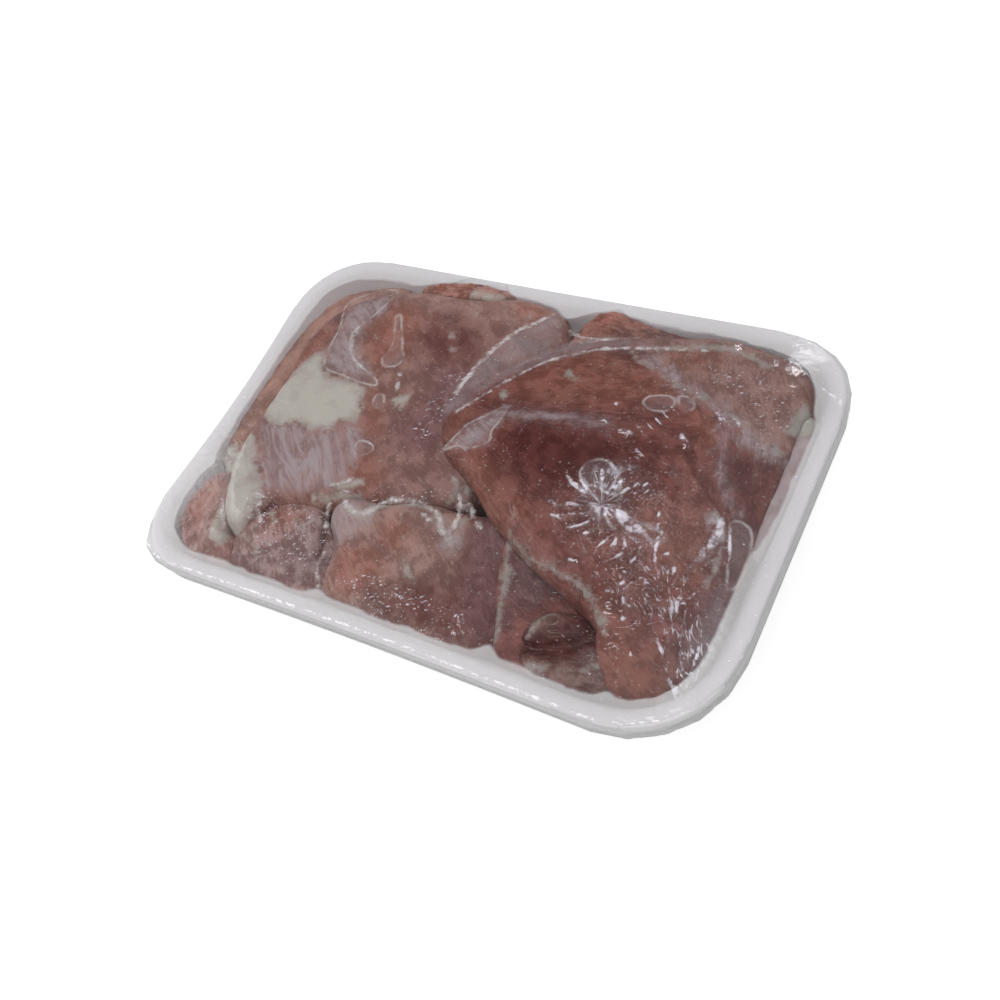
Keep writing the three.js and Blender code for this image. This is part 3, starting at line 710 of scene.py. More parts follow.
def meat_finish(name, look, kinds):
    """Raw muscle with fibres, blotches, flecks of fat and the piece's own fat, skin and tinted places; the
    dark places are partly dark muscle and partly painted shade.
    """
    tones = bpy.context.scene.pork_colours
    finish = Finish(name)
    place = finish.place()
    fibre = finish.attribute("fibre", "Vector")
    edge_noise = finish.noise(place, 0.35, 4, 0.6) - 0.5
    fine_edge = finish.noise(place, 1.3, 3, 0.6) - 0.5
    blotch = finish.noise(place, 0.085, 4, 0.6)
    mottle = finish.noise(place, 0.17, 3, 0.5)
    grain = finish.noise(place, 0.8, 3, 0.6)
    strands = finish.noise(finish.scaled(fibre, (0.12, 0.5, 0.3)), 1.0, 4, 0.6, 1.6)
    threads = finish.noise(finish.scaled(fibre, (0.4, 1.8, 1.0)), 1.0, 3, 0.6, 0.8)
    darker, lighter = (shaded(look["ground"], shade) for shade in GROUND_SHADES)
    colour = finish.mix(finish.ramp(blotch, 0.36, 0.64), darker, lighter)
    # The dark_and_shade places are dark muscle, and painted shade where a piece lies under or beside the top
    # steak's edge.
    for kind, tint, strength, soft in (
        ("bloom", tones.bloom, 0.66, 5.0),
        ("dark_and_shade", tones.dark, look.get("dark_and_shade", 0), 8.0),
        ("mauve", tones.mauve, 0.75, 4.0),
        ("orange", tones.orange, 0.62, 5.0),
    ):
        if kind in kinds:
            reach = finish.attribute(kind) + edge_noise * 12
            cover = finish.ramp(reach, -soft, soft, strength, 0)
            colour = finish.mix(cover, colour, shaded(tint, look["tints"]))
    lean = 0
    for texture, share in ((mottle, 0.42), (grain, 0.1), (strands, 0.34), (threads, 0.14)):
        lean = finish.ramp(texture, 0.36, 0.64) * share + lean
    dark = tuple(1 - look["contrast"] * drop for drop in DARK_DROP)
    light = tuple(1 + look["contrast"] * gain for gain in LIGHT_GAIN)
    colour = finish.product(colour, finish.mix(finish.ramp(lean, 0.28, 0.72), dark, light))
    vein = (finish.noise(finish.scaled(fibre, (0.05, 0.16, 0.1)), 1.0, 3, 0.6, 1.5) - 0.5).absolute()
    vein_patch = finish.ramp(finish.noise(place, 0.12, 2), 0.5, 0.6)
    vein = finish.ramp(vein, 0.0, 0.014, look["veins"], 0)
    colour = finish.mix(vein * vein_patch, colour, tones.fat_shade)
    fleck = finish.ramp(finish.cells(place, 0.52) + fine_edge * 0.3, 0.10, 0.24, 1, 0)
    fleck_patch = finish.ramp(finish.noise(place, 0.2, 3, 0.6), 0.5, 0.6, 0, look["flecks"])
    colour = finish.mix(fleck * fleck_patch, colour, tones.fat)
    if "skin" in kinds:
        stripe = finish.noise(finish.scaled(fibre, (0.05, 0.24, 0.1)), 1.0, 4, 0.7, 1.6)
        cover = finish.ramp(finish.attribute("skin") + edge_noise * 9, -4, 3.0, 1, 0)
        cover = cover * finish.ramp(stripe, 0.4, 0.6, 0.3, 0.95)
        colour = finish.mix(cover, colour, tones.skin)
    if "fat" in kinds:
        lump = finish.noise(place, 0.16, 4, 0.65)
        ragged = finish.noise(place, 0.15, 2) - 0.5
        reach = finish.attribute("fat") + edge_noise * 5 + fine_edge * 3 + ragged * 4
        inner = finish.ramp(finish.attribute("fat") + (lump - 0.5) * 16, -4.5, 1.5, 1, 0)
        grey, cream = (shaded(tone, look["tints"]) for tone in (tones.fat_shade, tones.fat))
        fat_colour = finish.mix(inner, grey, cream)
        fat_colour = finish.mix(finish.ramp(mottle, 0.5, 0.68, 0, 0.45), fat_colour, tones.skin)
        colour = finish.mix(finish.ramp(reach, -1.5, 1.0, 0.96, 0), colour, fat_colour)
    height = strands * 0.4 + threads * 0.2 + grain * 0.3
    sockets = {
        "Base Color": colour,
        "Roughness": finish.ramp(mottle, 0.35, 0.65, 0.42, 0.56),
        "Subsurface Weight": SCATTER_WEIGHT,
        "Subsurface Radius": SCATTER_RADIUS,
        "Subsurface Scale": SCATTER_DEPTH * MM,
        "Specular IOR Level": 0.2,
        "Normal": finish.bump(height, MEAT_RELIEF * MM, 0.7),
    }
    return finish.surface(finish.node("ShaderNodeBsdfPrincipled", None, sockets))


FOAM_RELIEF = 0.2
FOAM_SHADE = 0.9


def foam_finish():
    """White foam with fine closed beads and a faint unevenness."""
    finish = Finish("foam")
    tones = bpy.context.scene.pork_colours
    place = finish.place()
    beads = finish.cells(place, 0.55, "SMOOTH_F1")
    grain = finish.noise(place, 0.9, 3, 0.6)
    cloud = finish.noise(place, 0.03, 3, 0.5)
    colour = finish.mix(finish.ramp(cloud, 0.3, 0.7), shaded(tones.foam, FOAM_SHADE), tones.foam)
    height = beads * 0.5 + grain * 0.25
    sockets = {
        "Base Color": colour,
        "Roughness": finish.ramp(grain, 0.3, 0.7, 0.5, 0.62),
        "Normal": finish.bump(height, FOAM_RELIEF * MM, 0.3),
    }
    return finish.surface(finish.node("ShaderNodeBsdfPrincipled", None, sockets))


PUCKER = (54.0, -13.0, 0.0)
FOLD_TURN = 58
GLINT_TURN = -30
PUCKER_START = (1, 3.5)
PUCKER_END = (10, 18)
CLEAR_TINT = (0.985, 0.985, 0.99, 1)
FILM_INDEX = 1.42
FILM_GLOSS = 0.85
MOST_HAZE = 0.9


def film_finish():
    """Clear stretch film: glossy, wrinkled, with fogged bubbles, milky contact lines and fine drops; its
    glare, its glints and its streaks along crests and the front lip are painted highlights.
    """
    finish = Finish("stretch_film")
    tones = bpy.context.scene.pork_colours
    place = finish.place()
    wobble = (finish.noise(place, 0.5, 3, 0.6) - 0.5) * 1.4
    patch = finish.noise(place, 0.09, 3, 0.6)
    bubble = finish.attribute("bubble") + wobble * 0.5
    fog = finish.ramp(bubble, -1.2, 0.4, 1, 0) * finish.ramp(patch, 0.3, 0.7, 0.06, 0.18)
    mist_noise = finish.ramp(finish.noise(place, 0.16, 4, 0.65), 0.36, 0.64, 0.16, 0.36)
    mist = finish.ramp(finish.attribute("mist") + wobble * 3, -3, 2.5, 1, 0) * mist_noise
    outline_patch = finish.ramp(finish.noise(place, 0.25), 0.36, 0.6, 0.25, 1)
    outline = finish.ramp(bubble.absolute(), 0.1, 0.8, 0.46, 0) * outline_patch
    milk_patch = finish.ramp(finish.noise(place, 0.3, 3, 0.6), 0.4, 0.6, 0.25, 0.8)
    milk = finish.ramp(finish.attribute("milk") + wobble * 2.6, -0.7, 0.8, 1, 0) * milk_patch
    # Painted glints: pale specks for the light on drops of dew.
    specks = finish.cells(place, 1.15)
    drops = finish.ramp(specks, 0.16, 0.3, 1, 0) * finish.ramp(finish.noise(place, 0.7), 0.5, 0.62, 0, 1)
    dew_glint_area = finish.ramp(finish.attribute("dew_glints") + wobble * 3, -3, 1, 0.07, 0)
    islands = finish.noise(finish.scaled(finish.turned(place, GLINT_TURN), (0.8, 1.5, 1)), 1.0, 3, 0.65)
    dew_glints = finish.ramp(islands + dew_glint_area, 0.68, 0.72, 0, 0.72) + drops * dew_glint_area * 3
    # Milky film over the air gap beside the walls, tinted foam white: partly real haze and partly painted
    # light over the dark crevice between meat and wall.
    gap = finish.ramp(finish.attribute("gap") + wobble * 0.5, 1.5, 9, 0, 0.55)
    # Painted highlights: pale streaks along the film's crests and fold lines, in a lightened glare colour.
    highlight_patch = finish.ramp(finish.noise(place, 0.4, 3, 0.6), 0.4, 0.6, 0.05, 0.72)
    painted_crease_highlights = finish.ramp(finish.attribute("crease") + wobble * 0.4, 0.35, 0.95, 0, 1) * highlight_patch
    fold_place = finish.scaled(finish.turned(place, FOLD_TURN), (0.09, 0.36, 0.1))
    fold_noise = finish.noise(fold_place, 1.0, 2, 0.5, 0.6)
    folds = finish.ridges(fold_noise, 0.3)
    fold_lines = finish.ridges(fold_noise, 0.035) * finish.attribute("folds")
    painted_crease_highlights = painted_crease_highlights + fold_lines * highlight_patch * 0.7
    # Painted reflection: soft glare at the pucker, broken into spokes.
    glare_noise = finish.noise(finish.spokes(place, PUCKER, 6.0, 0.2), 1.0, 3, 0.6)
    glare = finish.ramp(finish.attribute("glare") + wobble * 3, -4, 3, 1, 0)
    glare = glare * finish.ramp(glare_noise, 0.44, 0.64, 0.04, 0.46)
    # Painted highlight: a dashed bright line along the tray's front lip.
    dash = finish.noise(finish.scaled(place, (0.4, 1.2, 1.2)), 1.0, 3, 0.7)
    rim = finish.ramp(finish.attribute("rim") + wobble * 0.3, 0.25, 0.7, 1, 0)
    rim = rim * finish.ramp(dash, 0.47, 0.58, 0.1, 0.6)
    bright = outline + milk
    veil = fog + mist + bright + dew_glints + gap + glare + rim + painted_crease_highlights
    haze = finish.node("ShaderNodeClamp", None, {"Value": veil, "Max": MOST_HAZE})

    ripple = finish.noise(finish.scaled(place, (0.16, 0.22, 0.2)), 1.0, 3, 0.55, 0.8)
    spokes = finish.ridges(finish.noise(finish.spokes(place, PUCKER, 2.6, 0.12), 1.0, 3, 0.55), 0.34)
    crinkle = finish.noise(place, 0.36, 3, 0.6, 0.7)
    height = ripple * 0.4 + drops * 0.05
    height = height + spokes * finish.attribute("pucker") * 0.4
    height = height + folds * finish.attribute("folds") * 0.35
    height = height + crinkle * finish.attribute("crinkle") * 0.9
    normal = finish.bump(height, MM)
    fresnel = finish.node("ShaderNodeFresnel", None, {"IOR": FILM_INDEX, "Normal": normal})
    through = finish.node("ShaderNodeBsdfTransparent", None, {"Color": CLEAR_TINT})
    mirror = {"Color": (1, 1, 1, 1), "Roughness": 0.06, "Normal": normal}
    gloss = finish.node("ShaderNodeBsdfGlossy", None, mirror)
    clear = finish.node("ShaderNodeMixShader", None, {0: fresnel * FILM_GLOSS, 1: through, 2: gloss})
    # The veil's tints: foam white over the gaps by the walls, and the glare colour and white where
    # reflections and highlights are painted.
    tint = finish.mix(finish.ramp(gap, 0.02, 0.2), tones.fog, tones.foam)
    tint = finish.mix(finish.ramp(bright, 0.02, 0.2), tint, tones.milk)
    tint = finish.mix(finish.ramp(glare + rim, 0.02, 0.2), tint, tones.glare)
    tint = finish.mix(finish.ramp(painted_crease_highlights + dew_glints, 0.02, 0.3), tint, shaded(tones.glare, 1.25))
    tint = finish.mix(finish.ramp(rim, 0.1, 0.4), tint, (1, 1, 1))
    white = {"Base Color": tint, "Roughness": 0.4, "Normal": normal}
    pale = finish.node("ShaderNodeBsdfPrincipled", None, white)
    return finish.surface(finish.node("ShaderNodeMixShader", None, {0: haze, 1: clear, 2: pale}))


def new_object(name, mesh):
    made = bpy.data.objects.new(name, mesh)
    bpy.context.scene.collection.objects.link(made)
    return made


def shade_smooth(mesh):
    mesh.polygons.foreach_set("use_smooth", np.ones(len(mesh.polygons), bool))
    mesh.update()


def read_places(mesh):
    """The mesh's vertices in millimetres, one row each."""
    places = np.empty(len(mesh.vertices) * 3)
    mesh.vertices.foreach_get("co", places)
    return places.reshape(-1, 3) / MM


def write_places(mesh, places):
    mesh.vertices.foreach_set("co", (places * MM).ravel())
    mesh.update()


def read_normals(mesh):
    normals = np.empty(len(mesh.vertices) * 3)
    mesh.vertex_normals.foreach_get("vector", normals)
    return normals.reshape(-1, 3)


def write_attribute(mesh, name, values, kind="FLOAT"):
    made = mesh.attributes.new(name, kind, "POINT")
    field = "vector" if kind == "FLOAT_VECTOR" else "value"
    made.data.foreach_set(field, np.ravel(values).astype(np.float32))


JOIN_DISTANCE = 0.01


def merged_copy(node, name):
    """A new object with a CAD node's mesh, its loose triangles joined."""
    shape = bmesh.new()
    shape.from_mesh(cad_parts[node].data)
    bmesh.ops.remove_doubles(shape, verts=shape.verts, dist=JOIN_DISTANCE * MM)
    mesh = bpy.data.meshes.new(name)
    shape.to_mesh(mesh)
    shape.free()
    return new_object(name, mesh)


def apply_modifiers(piece):
    """Puts what the modifiers make into the piece's own mesh."""
    depsgraph = bpy.context.evaluated_depsgraph_get()
    mesh = bpy.data.meshes.new_from_object(piece.evaluated_get(depsgraph))
    piece.modifiers.clear()
    piece.data = mesh
    return mesh


def relax(places, mesh, rounds):
    """Moves each place to the middle of its neighbours, rounds times."""
    edges = np.empty(len(mesh.edges) * 2, np.int64)
    mesh.edges.foreach_get("vertices", edges)
    first, second = edges.reshape(-1, 2).T
    count = len(places)
    shared = np.bincount(first, minlength=count) + np.bincount(second, minlength=count)
    for _ in range(rounds):
        total = np.empty_like(places)
        for axis in range(3):
            column = places[:, axis]
            total[:, axis] = np.bincount(first, column[second], count)
            total[:, axis] += np.bincount(second, column[first], count)
        places = 0.4 * places + 0.6 * total / shared[:, None]
    return places


def fibre_places(places, angle, muscles):
    """Each place turned so that its first number runs along the fibres of the muscle it lies in."""
    angles = np.full(len(places), math.radians(angle))
    for muscle in muscles:
        within = inside(places[:, :2], curve(muscle["area"], closed=True))
        angles[within] = math.radians(muscle["angle"])
    x, y, z = places.T
    along = x * np.cos(angles) + y * np.sin(angles)
    across = y * np.cos(angles) - x * np.sin(angles)
    return np.column_stack([along, across, z])


# Each piece of meat: its marks, its fibres' angle in degrees, its ground colour and what varies it,
# and the height of its lumps, grain and grooves in millimetres.
MEAT = {
    "steak_top": {
        "dark_and_shade": 0.85,
        "marks": STEAK_TOP_MARKS, "muscles": STEAK_TOP_MUSCLES, "angle": -32, "slot": "pork_dark",
        "ground": (0.178, 0.063, 0.052), "contrast": 0.4, "tints": 0.78, "veins": 0.25, "flecks": 0.5,
        "lump": 0.55, "grain": 0.16,
        "grooves": [groove_mark(1.3, 1.1, (71, 12), (76, 6.5), (82, 2), (89, -4))],
    },
    "steak_left": {
        "dark_and_shade": 0.65,
        "marks": STEAK_LEFT_MARKS, "muscles": STEAK_LEFT_MUSCLES, "angle": -35, "slot": "pork_pale",
        "ground": (0.258, 0.142, 0.124), "contrast": 0.28, "tints": 1.0, "veins": 0.3, "flecks": 0.4,
        "lump": 0.6, "grain": 0.16,
    },
    "steak_left_under": {
        "marks": SLICE_MARKS, "muscles": [], "angle": 90, "slot": "pork_pale",
        "ground": (0.345, 0.198, 0.160), "contrast": 0.22, "tints": 1.0, "veins": 0.4, "flecks": 0.6,
        "lump": 0.6, "grain": 0.2,
    },
    "steak_front": {
        "dark_and_shade": 0.74,
        "marks": STEAK_FRONT_MARKS, "muscles": [], "angle": -40, "slot": "pork_dark",
        "ground": (0.305, 0.186, 0.160), "contrast": 0.34, "tints": 1.0, "veins": 0.4, "flecks": 0.7,
        "lump": 0.6, "grain": 0.2,
        "grooves": [
            groove_mark(-1.5, 4, (-36, -32), (-24, -31), (-14, -28), (0, -25.5), (12, -24.5), (24, -23)),
        ],
    },
    "flap_front": {
        "dark_and_shade": 0.8,
        "marks": FLAP_MARKS, "muscles": [], "angle": -22, "slot": "pork_dark",
        "ground": (0.235, 0.085, 0.071), "contrast": 0.38, "tints": 0.8, "veins": 0.3, "flecks": 0.4,
        "lump": 0.6, "grain": 0.25,
    },
    "fold_front": {
        "dark_and_shade": 0.9,
        "marks": FOLD_MARKS, "muscles": [], "angle": 10, "slot": "pork_trim",
        # The dark ground is partly the fold's own colour and partly painted shade under the top steak's edge.
        "ground": (0.096, 0.034, 0.030), "contrast": 0.45, "tints": 0.8, "veins": 0.5, "flecks": 0.6,
        "lump": 0.7, "grain": 0.35,
        "grooves": [
            groove_mark(2.2, 1.8, (44, -56.6), (50, -55.6), (54.4, -54), (59, -52), (63, -49), (67, -45)),
        ],
    },
    "chunk_front": {
        "marks": CHUNK_FRONT_MARKS, "muscles": [], "angle": -50, "slot": "pork_trim",
        "ground": (0.305, 0.200, 0.188), "contrast": 0.5, "tints": 1.0, "veins": 0.7, "flecks": 1.0,
        "lump": 1.1, "grain": 0.4,
        "grooves": [
            groove_mark(1.8, 1.5, (-40, -35), (-36, -42), (-34, -49)),
            groove_mark(1.2, 1.4, (-57, -66), (-54, -58), (-47, -51)),
        ],
    },
    "chunk_corner": {
        "marks": CHUNK_CORNER_MARKS, "muscles": [], "angle": -60, "slot": "pork_trim",
        "ground": (0.330, 0.195, 0.175), "contrast": 0.36, "tints": 1.0, "veins": 0.6, "flecks": 0.9,
        "lump": 1.0, "grain": 0.35,
    },
    "trim_back_left": {
        "marks": TRIM_LEFT_MARKS, "muscles": [], "angle": 5, "slot": "pork_trim",
        "ground": (0.340, 0.180, 0.150), "contrast": 0.6, "tints": 1.0, "veins": 0.5, "flecks": 0.6,
        "lump": 0.6, "grain": 0.35,
    },
    "trim_back_right": {
        "marks": TRIM_RIGHT_MARKS, "muscles": [], "angle": 5, "slot": "pork_trim",
        "ground": (0.290, 0.115, 0.090), "contrast": 0.6, "tints": 0.9, "veins": 0.5, "flecks": 0.5,
        "lump": 0.7, "grain": 0.35,
    },
    "fat_right": {
        "marks": {
            "skin": [area_mark((86, -14), (102, -14), (104, 44), (86, 44))],
            "fat": [area_mark((90, 30), (94, 44), (101, 42), (102, 33), (97, 31))],
        },
        "muscles": [], "angle": 90, "slot": "pork_fat",
        "ground": (0.400, 0.320, 0.300), "contrast": 0.4, "tints": 0.84, "veins": 0.2, "flecks": 0.2,
        "lump": 0.6, "grain": 0.4,
    },
}

SMOOTH_ROUNDS = 7
PLUMP = 0.75
LUMP_SIZE = 13.0
GRAIN_SIZE = 3.2
FIBRE_SIZE = 2.2
FIBRE_RELIEF = 0.12
FIBRE_STRETCH = (0.25, 1, 1)
FAT_RELIEF = 0.3
FAT_SLOPE = 2.5
SUNK_LEVELS = (3.0, 11.0)


def make_meat(node, cell):
    """Dresses one meat node: remeshed, softened, given its lumps, grain and relief, then painted."""
    look = MEAT[node]
    piece = merged_copy(node, node + "_meat")
    remesh = piece.modifiers.new("Remesh", "REMESH")
    remesh.mode = "VOXEL"
    remesh.voxel_size = cell
    mesh = apply_modifiers(piece)
    places = relax(read_places(mesh), mesh, SMOOTH_ROUNDS)
    write_places(mesh, places)
    normals = read_normals(mesh)
    flat = places[:, :2]
    fibres = fibre_places(places, look["angle"], look["muscles"])
    rise = PLUMP + look["lump"] * lumps(places, LUMP_SIZE, octaves=2, seed=1.7)
    rise += look["grain"] * lumps(places, GRAIN_SIZE, octaves=3, seed=5.1)
    rise += FIBRE_RELIEF * lumps(fibres * FIBRE_STRETCH, FIBRE_SIZE, octaves=2, seed=9.3)
    distances = {kind: mark_distance(flat, marks) for kind, marks in look["marks"].items()}
    if "fat" in distances:
        rise += FAT_RELIEF * smooth_step(-distances["fat"], 0, FAT_SLOPE)
    for groove in look.get("grooves", []):
        reach, _ = distance_to_line(flat, curve(groove["line"]))
        rise -= groove["depth"] * np.exp(-((reach / groove["half_width"]) ** 2))
    rise *= smooth_step(places[:, 2], *SUNK_LEVELS)
    write_places(mesh, places + normals * rise[:, None])
    write_attribute(mesh, "fibre", fibres, "FLOAT_VECTOR")
    for kind, distance in distances.items():
        write_attribute(mesh, kind, distance)
    mesh.materials.clear()
    mesh.materials.append(meat_finish(node, look, set(distances)))
    shade_smooth(mesh)
    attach(piece, "root")
    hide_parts(node)


class PORK_OT_large_steaks(bpy.types.Operator):
    """Dresses the top steak, the left steak and the front steak"""

    bl_idname = "pork.large_steaks"
    bl_label = "Large Steaks"

    def execute(self, context):
        for node in ("steak_top", "steak_left", "steak_front"):
            make_meat(node, context.scene.pack_sizes.steak_cell)
        return {"FINISHED"}


class PORK_OT_slices(bpy.types.Operator):
    """Dresses the lower slice, the flap and the small fold"""

    bl_idname = "pork.slices"
    bl_label = "Slices and Folds"

    def execute(self, context):
        for node in ("steak_left_under", "flap_front", "fold_front"):
            make_meat(node, context.scene.pack_sizes.trim_cell)
        return {"FINISHED"}


class PORK_OT_trimmings(bpy.types.Operator):
    """Dresses the torn chunks, the back trimmings and the fat strip"""

    bl_idname = "pork.trimmings"
    bl_label = "Chunks and Trimmings"

    def execute(self, context):
        for node in ("chunk_front", "chunk_corner", "trim_back_left", "trim_back_right", "fat_right"):
            make_meat(node, context.scene.pack_sizes.trim_cell)
        return {"FINISHED"}


# The tray's foot keeps its size: its level edges stay sharp when the walls are smoothed.
FOOT_LEVEL = 4.3
FOOT_CREASE = 1.0
LEVEL_EDGE = 0.1
FLAT_ANGLE = math.radians(25)
SHAPE_ANGLE = math.radians(60)
FACING_OUT = (0.1, 0.6)


class PORK_OT_tray(bpy.types.Operator):
    """Dresses the foam tray with smooth walls and a beaded finish"""

    bl_idname = "pork.tray"
    bl_label = "Foam Tray"

    def execute(self, context):
        piece = merged_copy("tray", "foam_tray")
        shape = bmesh.new()
        shape.from_mesh(piece.data)
        bmesh.ops.join_triangles(
            shape, faces=shape.faces, angle_face_threshold=FLAT_ANGLE, angle_shape_threshold=SHAPE_ANGLE
        )
        crease = shape.edges.layers.float.new("crease_edge")
        for edge in shape.edges:
            first, second = (vertex.co.z / MM for vertex in edge.verts)
            if max(first, second) < FOOT_LEVEL and abs(first - second) < LEVEL_EDGE:
                edge[crease] = FOOT_CREASE
        shape.to_mesh(piece.data)
        shape.free()
        shade_smooth(piece.data)
        subdivision = piece.modifiers.new("Subdivision", "SUBSURF")
        subdivision.levels = 2
        subdivision.render_levels = 2
        mesh = apply_modifiers(piece)
        places = read_places(mesh)
        outwards = places[:, :2] / np.linalg.norm(places[:, :2], axis=1)[:, None]
        facing = np.sum(read_normals(mesh)[:, :2] * outwards, axis=1)
        growth = context.scene.pack_sizes.foam_growth / MM * smooth_step(facing, *FACING_OUT)
        places[:, :2] += outwards * growth[:, None]
        write_places(mesh, places)
        mesh.materials.clear()
        mesh.materials.append(foam_finish())
        shade_smooth(mesh)
        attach(piece, "root")
        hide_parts("tray")
        return {"FINISHED"}


# Cells of the film's top, closer together over the pucker, and the levels of its sides.
FILM_ACROSS = 300
FILM_DEEP = 224
FILM_TURN = 9.0
DENSE_ACROSS = (34.0, 98.0)
DENSE_DEEP = (-50.0, 18.0)
DENSE_SHARE = 1.9
DENSE_FADE = (12, 6)
FINE_STEPS = 2000
EDGE_DROP = 2.2
RIM_LINE = 1.6
WALL_REACH = (9, 14)
BRIDGE_CELLS = 6
SOFT_ROUNDS = 6
SAG_ROUNDS = 1500
SIDE_LEVELS = (18.6, 17.2, 16.2, 15.4, 14.0, 11.0, 8.0, 5.0, 2.5, 1.0)
UNDER_SHARES = (0.97, 0.9, 0.8, 0.7, 0.6, 0.5, 0.4, 0.3, 0.2, 0.1, 0.03)
UNDER_LEVEL = 0.45
# Places outside the pack, in metres: beside it and over it.
RAY_START = 0.2
TOP_START = 0.1
# Relief of the film, in millimetres.
WAVER_SIZE = 2.4
TICK_HEIGHT = 0.4
TICK_HALF_WIDTH = 0.34
BUBBLE_EDGE = 0.22
BUBBLE_RISE = 0.12
CORNER_MIDDLE = (84, 49)
CORNER_RADIUS = 20
CORNER_REACH = {"x": (72, 92), "y": (38, 58), "z": (0.6, 3)}
CORNER_SHIFT = (30, 11)
PLEAT_STRETCH = 0.2
PLEAT_SIZE = 3.6
PLEAT_WIDTH = 0.1
PLEAT_RELIEF = -0.0022
PLAIN_FILM = {
    "bubble": FAR, "mist": FAR, "dew_glints": FAR, "glare": FAR, "milk": FAR, "rim": FAR,
    "pucker": 0.0, "folds": 0.0, "crinkle": 0.2, "gap": 0.0, "crease": 0.0,
}
# The three sheets folded under the tray: one from a long side, then one from each end.
FLAP_CELLS = (90, 36)
FLAP_THICKNESS = 0.04
FLAP_WAVE = 2.2
FLAP_WAVE_SIZE = 16.0
FLAP_RELIEF = 0.07
FLAP_CRINKLE = 0.3
FLAP_EDGE = {"share": 0.8, "width": 1.2}
FLAP_WRINKLE_SHARE = 0.7
WRINKLE_RUN = (0.5, 0.5)
WRINKLE_SIZE = 6.0
WRINKLE_WIDTH = 0.12
UNDER_FLAPS = {
    "long side": {
        "corners": [(-82, -58), (82, -58), (76, 9), (-77, 6)],
        "level": 0.36, "run": (1, 0.2),
    },
    "left end": {
        "corners": [(-92.5, 45), (-92.5, -45), (-45, -23), (-43, 26)],
        "level": 0.24, "run": (0.2, 1),
    },
    "right end": {
        "corners": [(92.5, -45), (92.5, 45), (46, 25), (43, -24)],
        "level": 0.24, "run": (0.2, 1),
    },
}


def write_film_fields(mesh, fields):
    """Writes what the film's finish reads; the given values start at the mesh's first vertex."""
    for name, elsewhere in PLAIN_FILM.items():
        values = np.full(len(mesh.vertices), elsewhere)
        if name in fields:
            values[: len(fields[name])] = fields[name]
        write_attribute(mesh, name, values)


def solid_tree(pieces):
    """One search tree over the final meshes of some pieces."""
    depsgraph = bpy.context.evaluated_depsgraph_get()
    vertices = []
    faces = []
    for piece in pieces:
        mesh = piece.evaluated_get(depsgraph).to_mesh()
        base = len(vertices)
        vertices.extend(v.co.copy() for v in mesh.vertices)
        faces.extend([base + i for i in polygon.vertices] for polygon in mesh.polygons)
    return BVHTree.FromPolygons(vertices, faces)


def tops(tree, flat):
    """Height of the uppermost surface at each place, 0 beside it."""
    down = Vector((0, 0, -1))
    hits = [tree.ray_cast(Vector((x * MM, y * MM, TOP_START)), down)[0] for x, y in flat]
    return np.array([hit.z / MM if hit else 0.0 for hit in hits])


def bridged(field):
    """A grid with its narrow gaps filled."""
    for choose in (np.maximum, np.minimum):
        for _ in range(BRIDGE_CELLS):
            padded = np.pad(field, 1, mode="edge")
            across = choose(padded[1:-1, :-2], padded[1:-1, 2:])
            field = choose(field, choose(across, choose(padded[:-2, 1:-1], padded[2:, 1:-1])))
    return field


def softened(field):
    """A grid blurred over a few cells."""
    for _ in range(SOFT_ROUNDS):
        padded = np.pad(field, 1, mode="edge")
        across = padded[1:-1, :-2] + padded[1:-1, 2:]
        field = (field + across + padded[:-2, 1:-1] + padded[2:, 1:-1]) / 5
    return field


def spread(count, low, high, dense):
    """count + 1 values from low to high, closer together in the dense stretch."""
    fine = np.linspace(low, high, FINE_STEPS)
    within = smooth_step(fine, dense[0] - DENSE_FADE[0], dense[0])
    within *= smooth_step(-fine, -dense[1] - DENSE_FADE[1], -dense[1])
    weight = 1 + (DENSE_SHARE - 1) * within
    total = np.concatenate([[0], np.cumsum((weight[1:] + weight[:-1]) / 2)])
    return np.interp(np.linspace(0, total[-1], count + 1), total, fine)


def film_outline(tree, level):
    """Functions that give the film's edge at a level: y for an x, and x for a y, on either side."""

    def y_edge(x, side):
        hit = tree.ray_cast(Vector((x * MM, side * RAY_START, level * MM)), Vector((0, -side, 0)))
        return hit[0].y / MM

    def x_edge(y, side):
        hit = tree.ray_cast(Vector((side * RAY_START, y * MM, level * MM)), Vector((-side, 0, 0)))
        return hit[0].x / MM

    return y_edge, x_edge


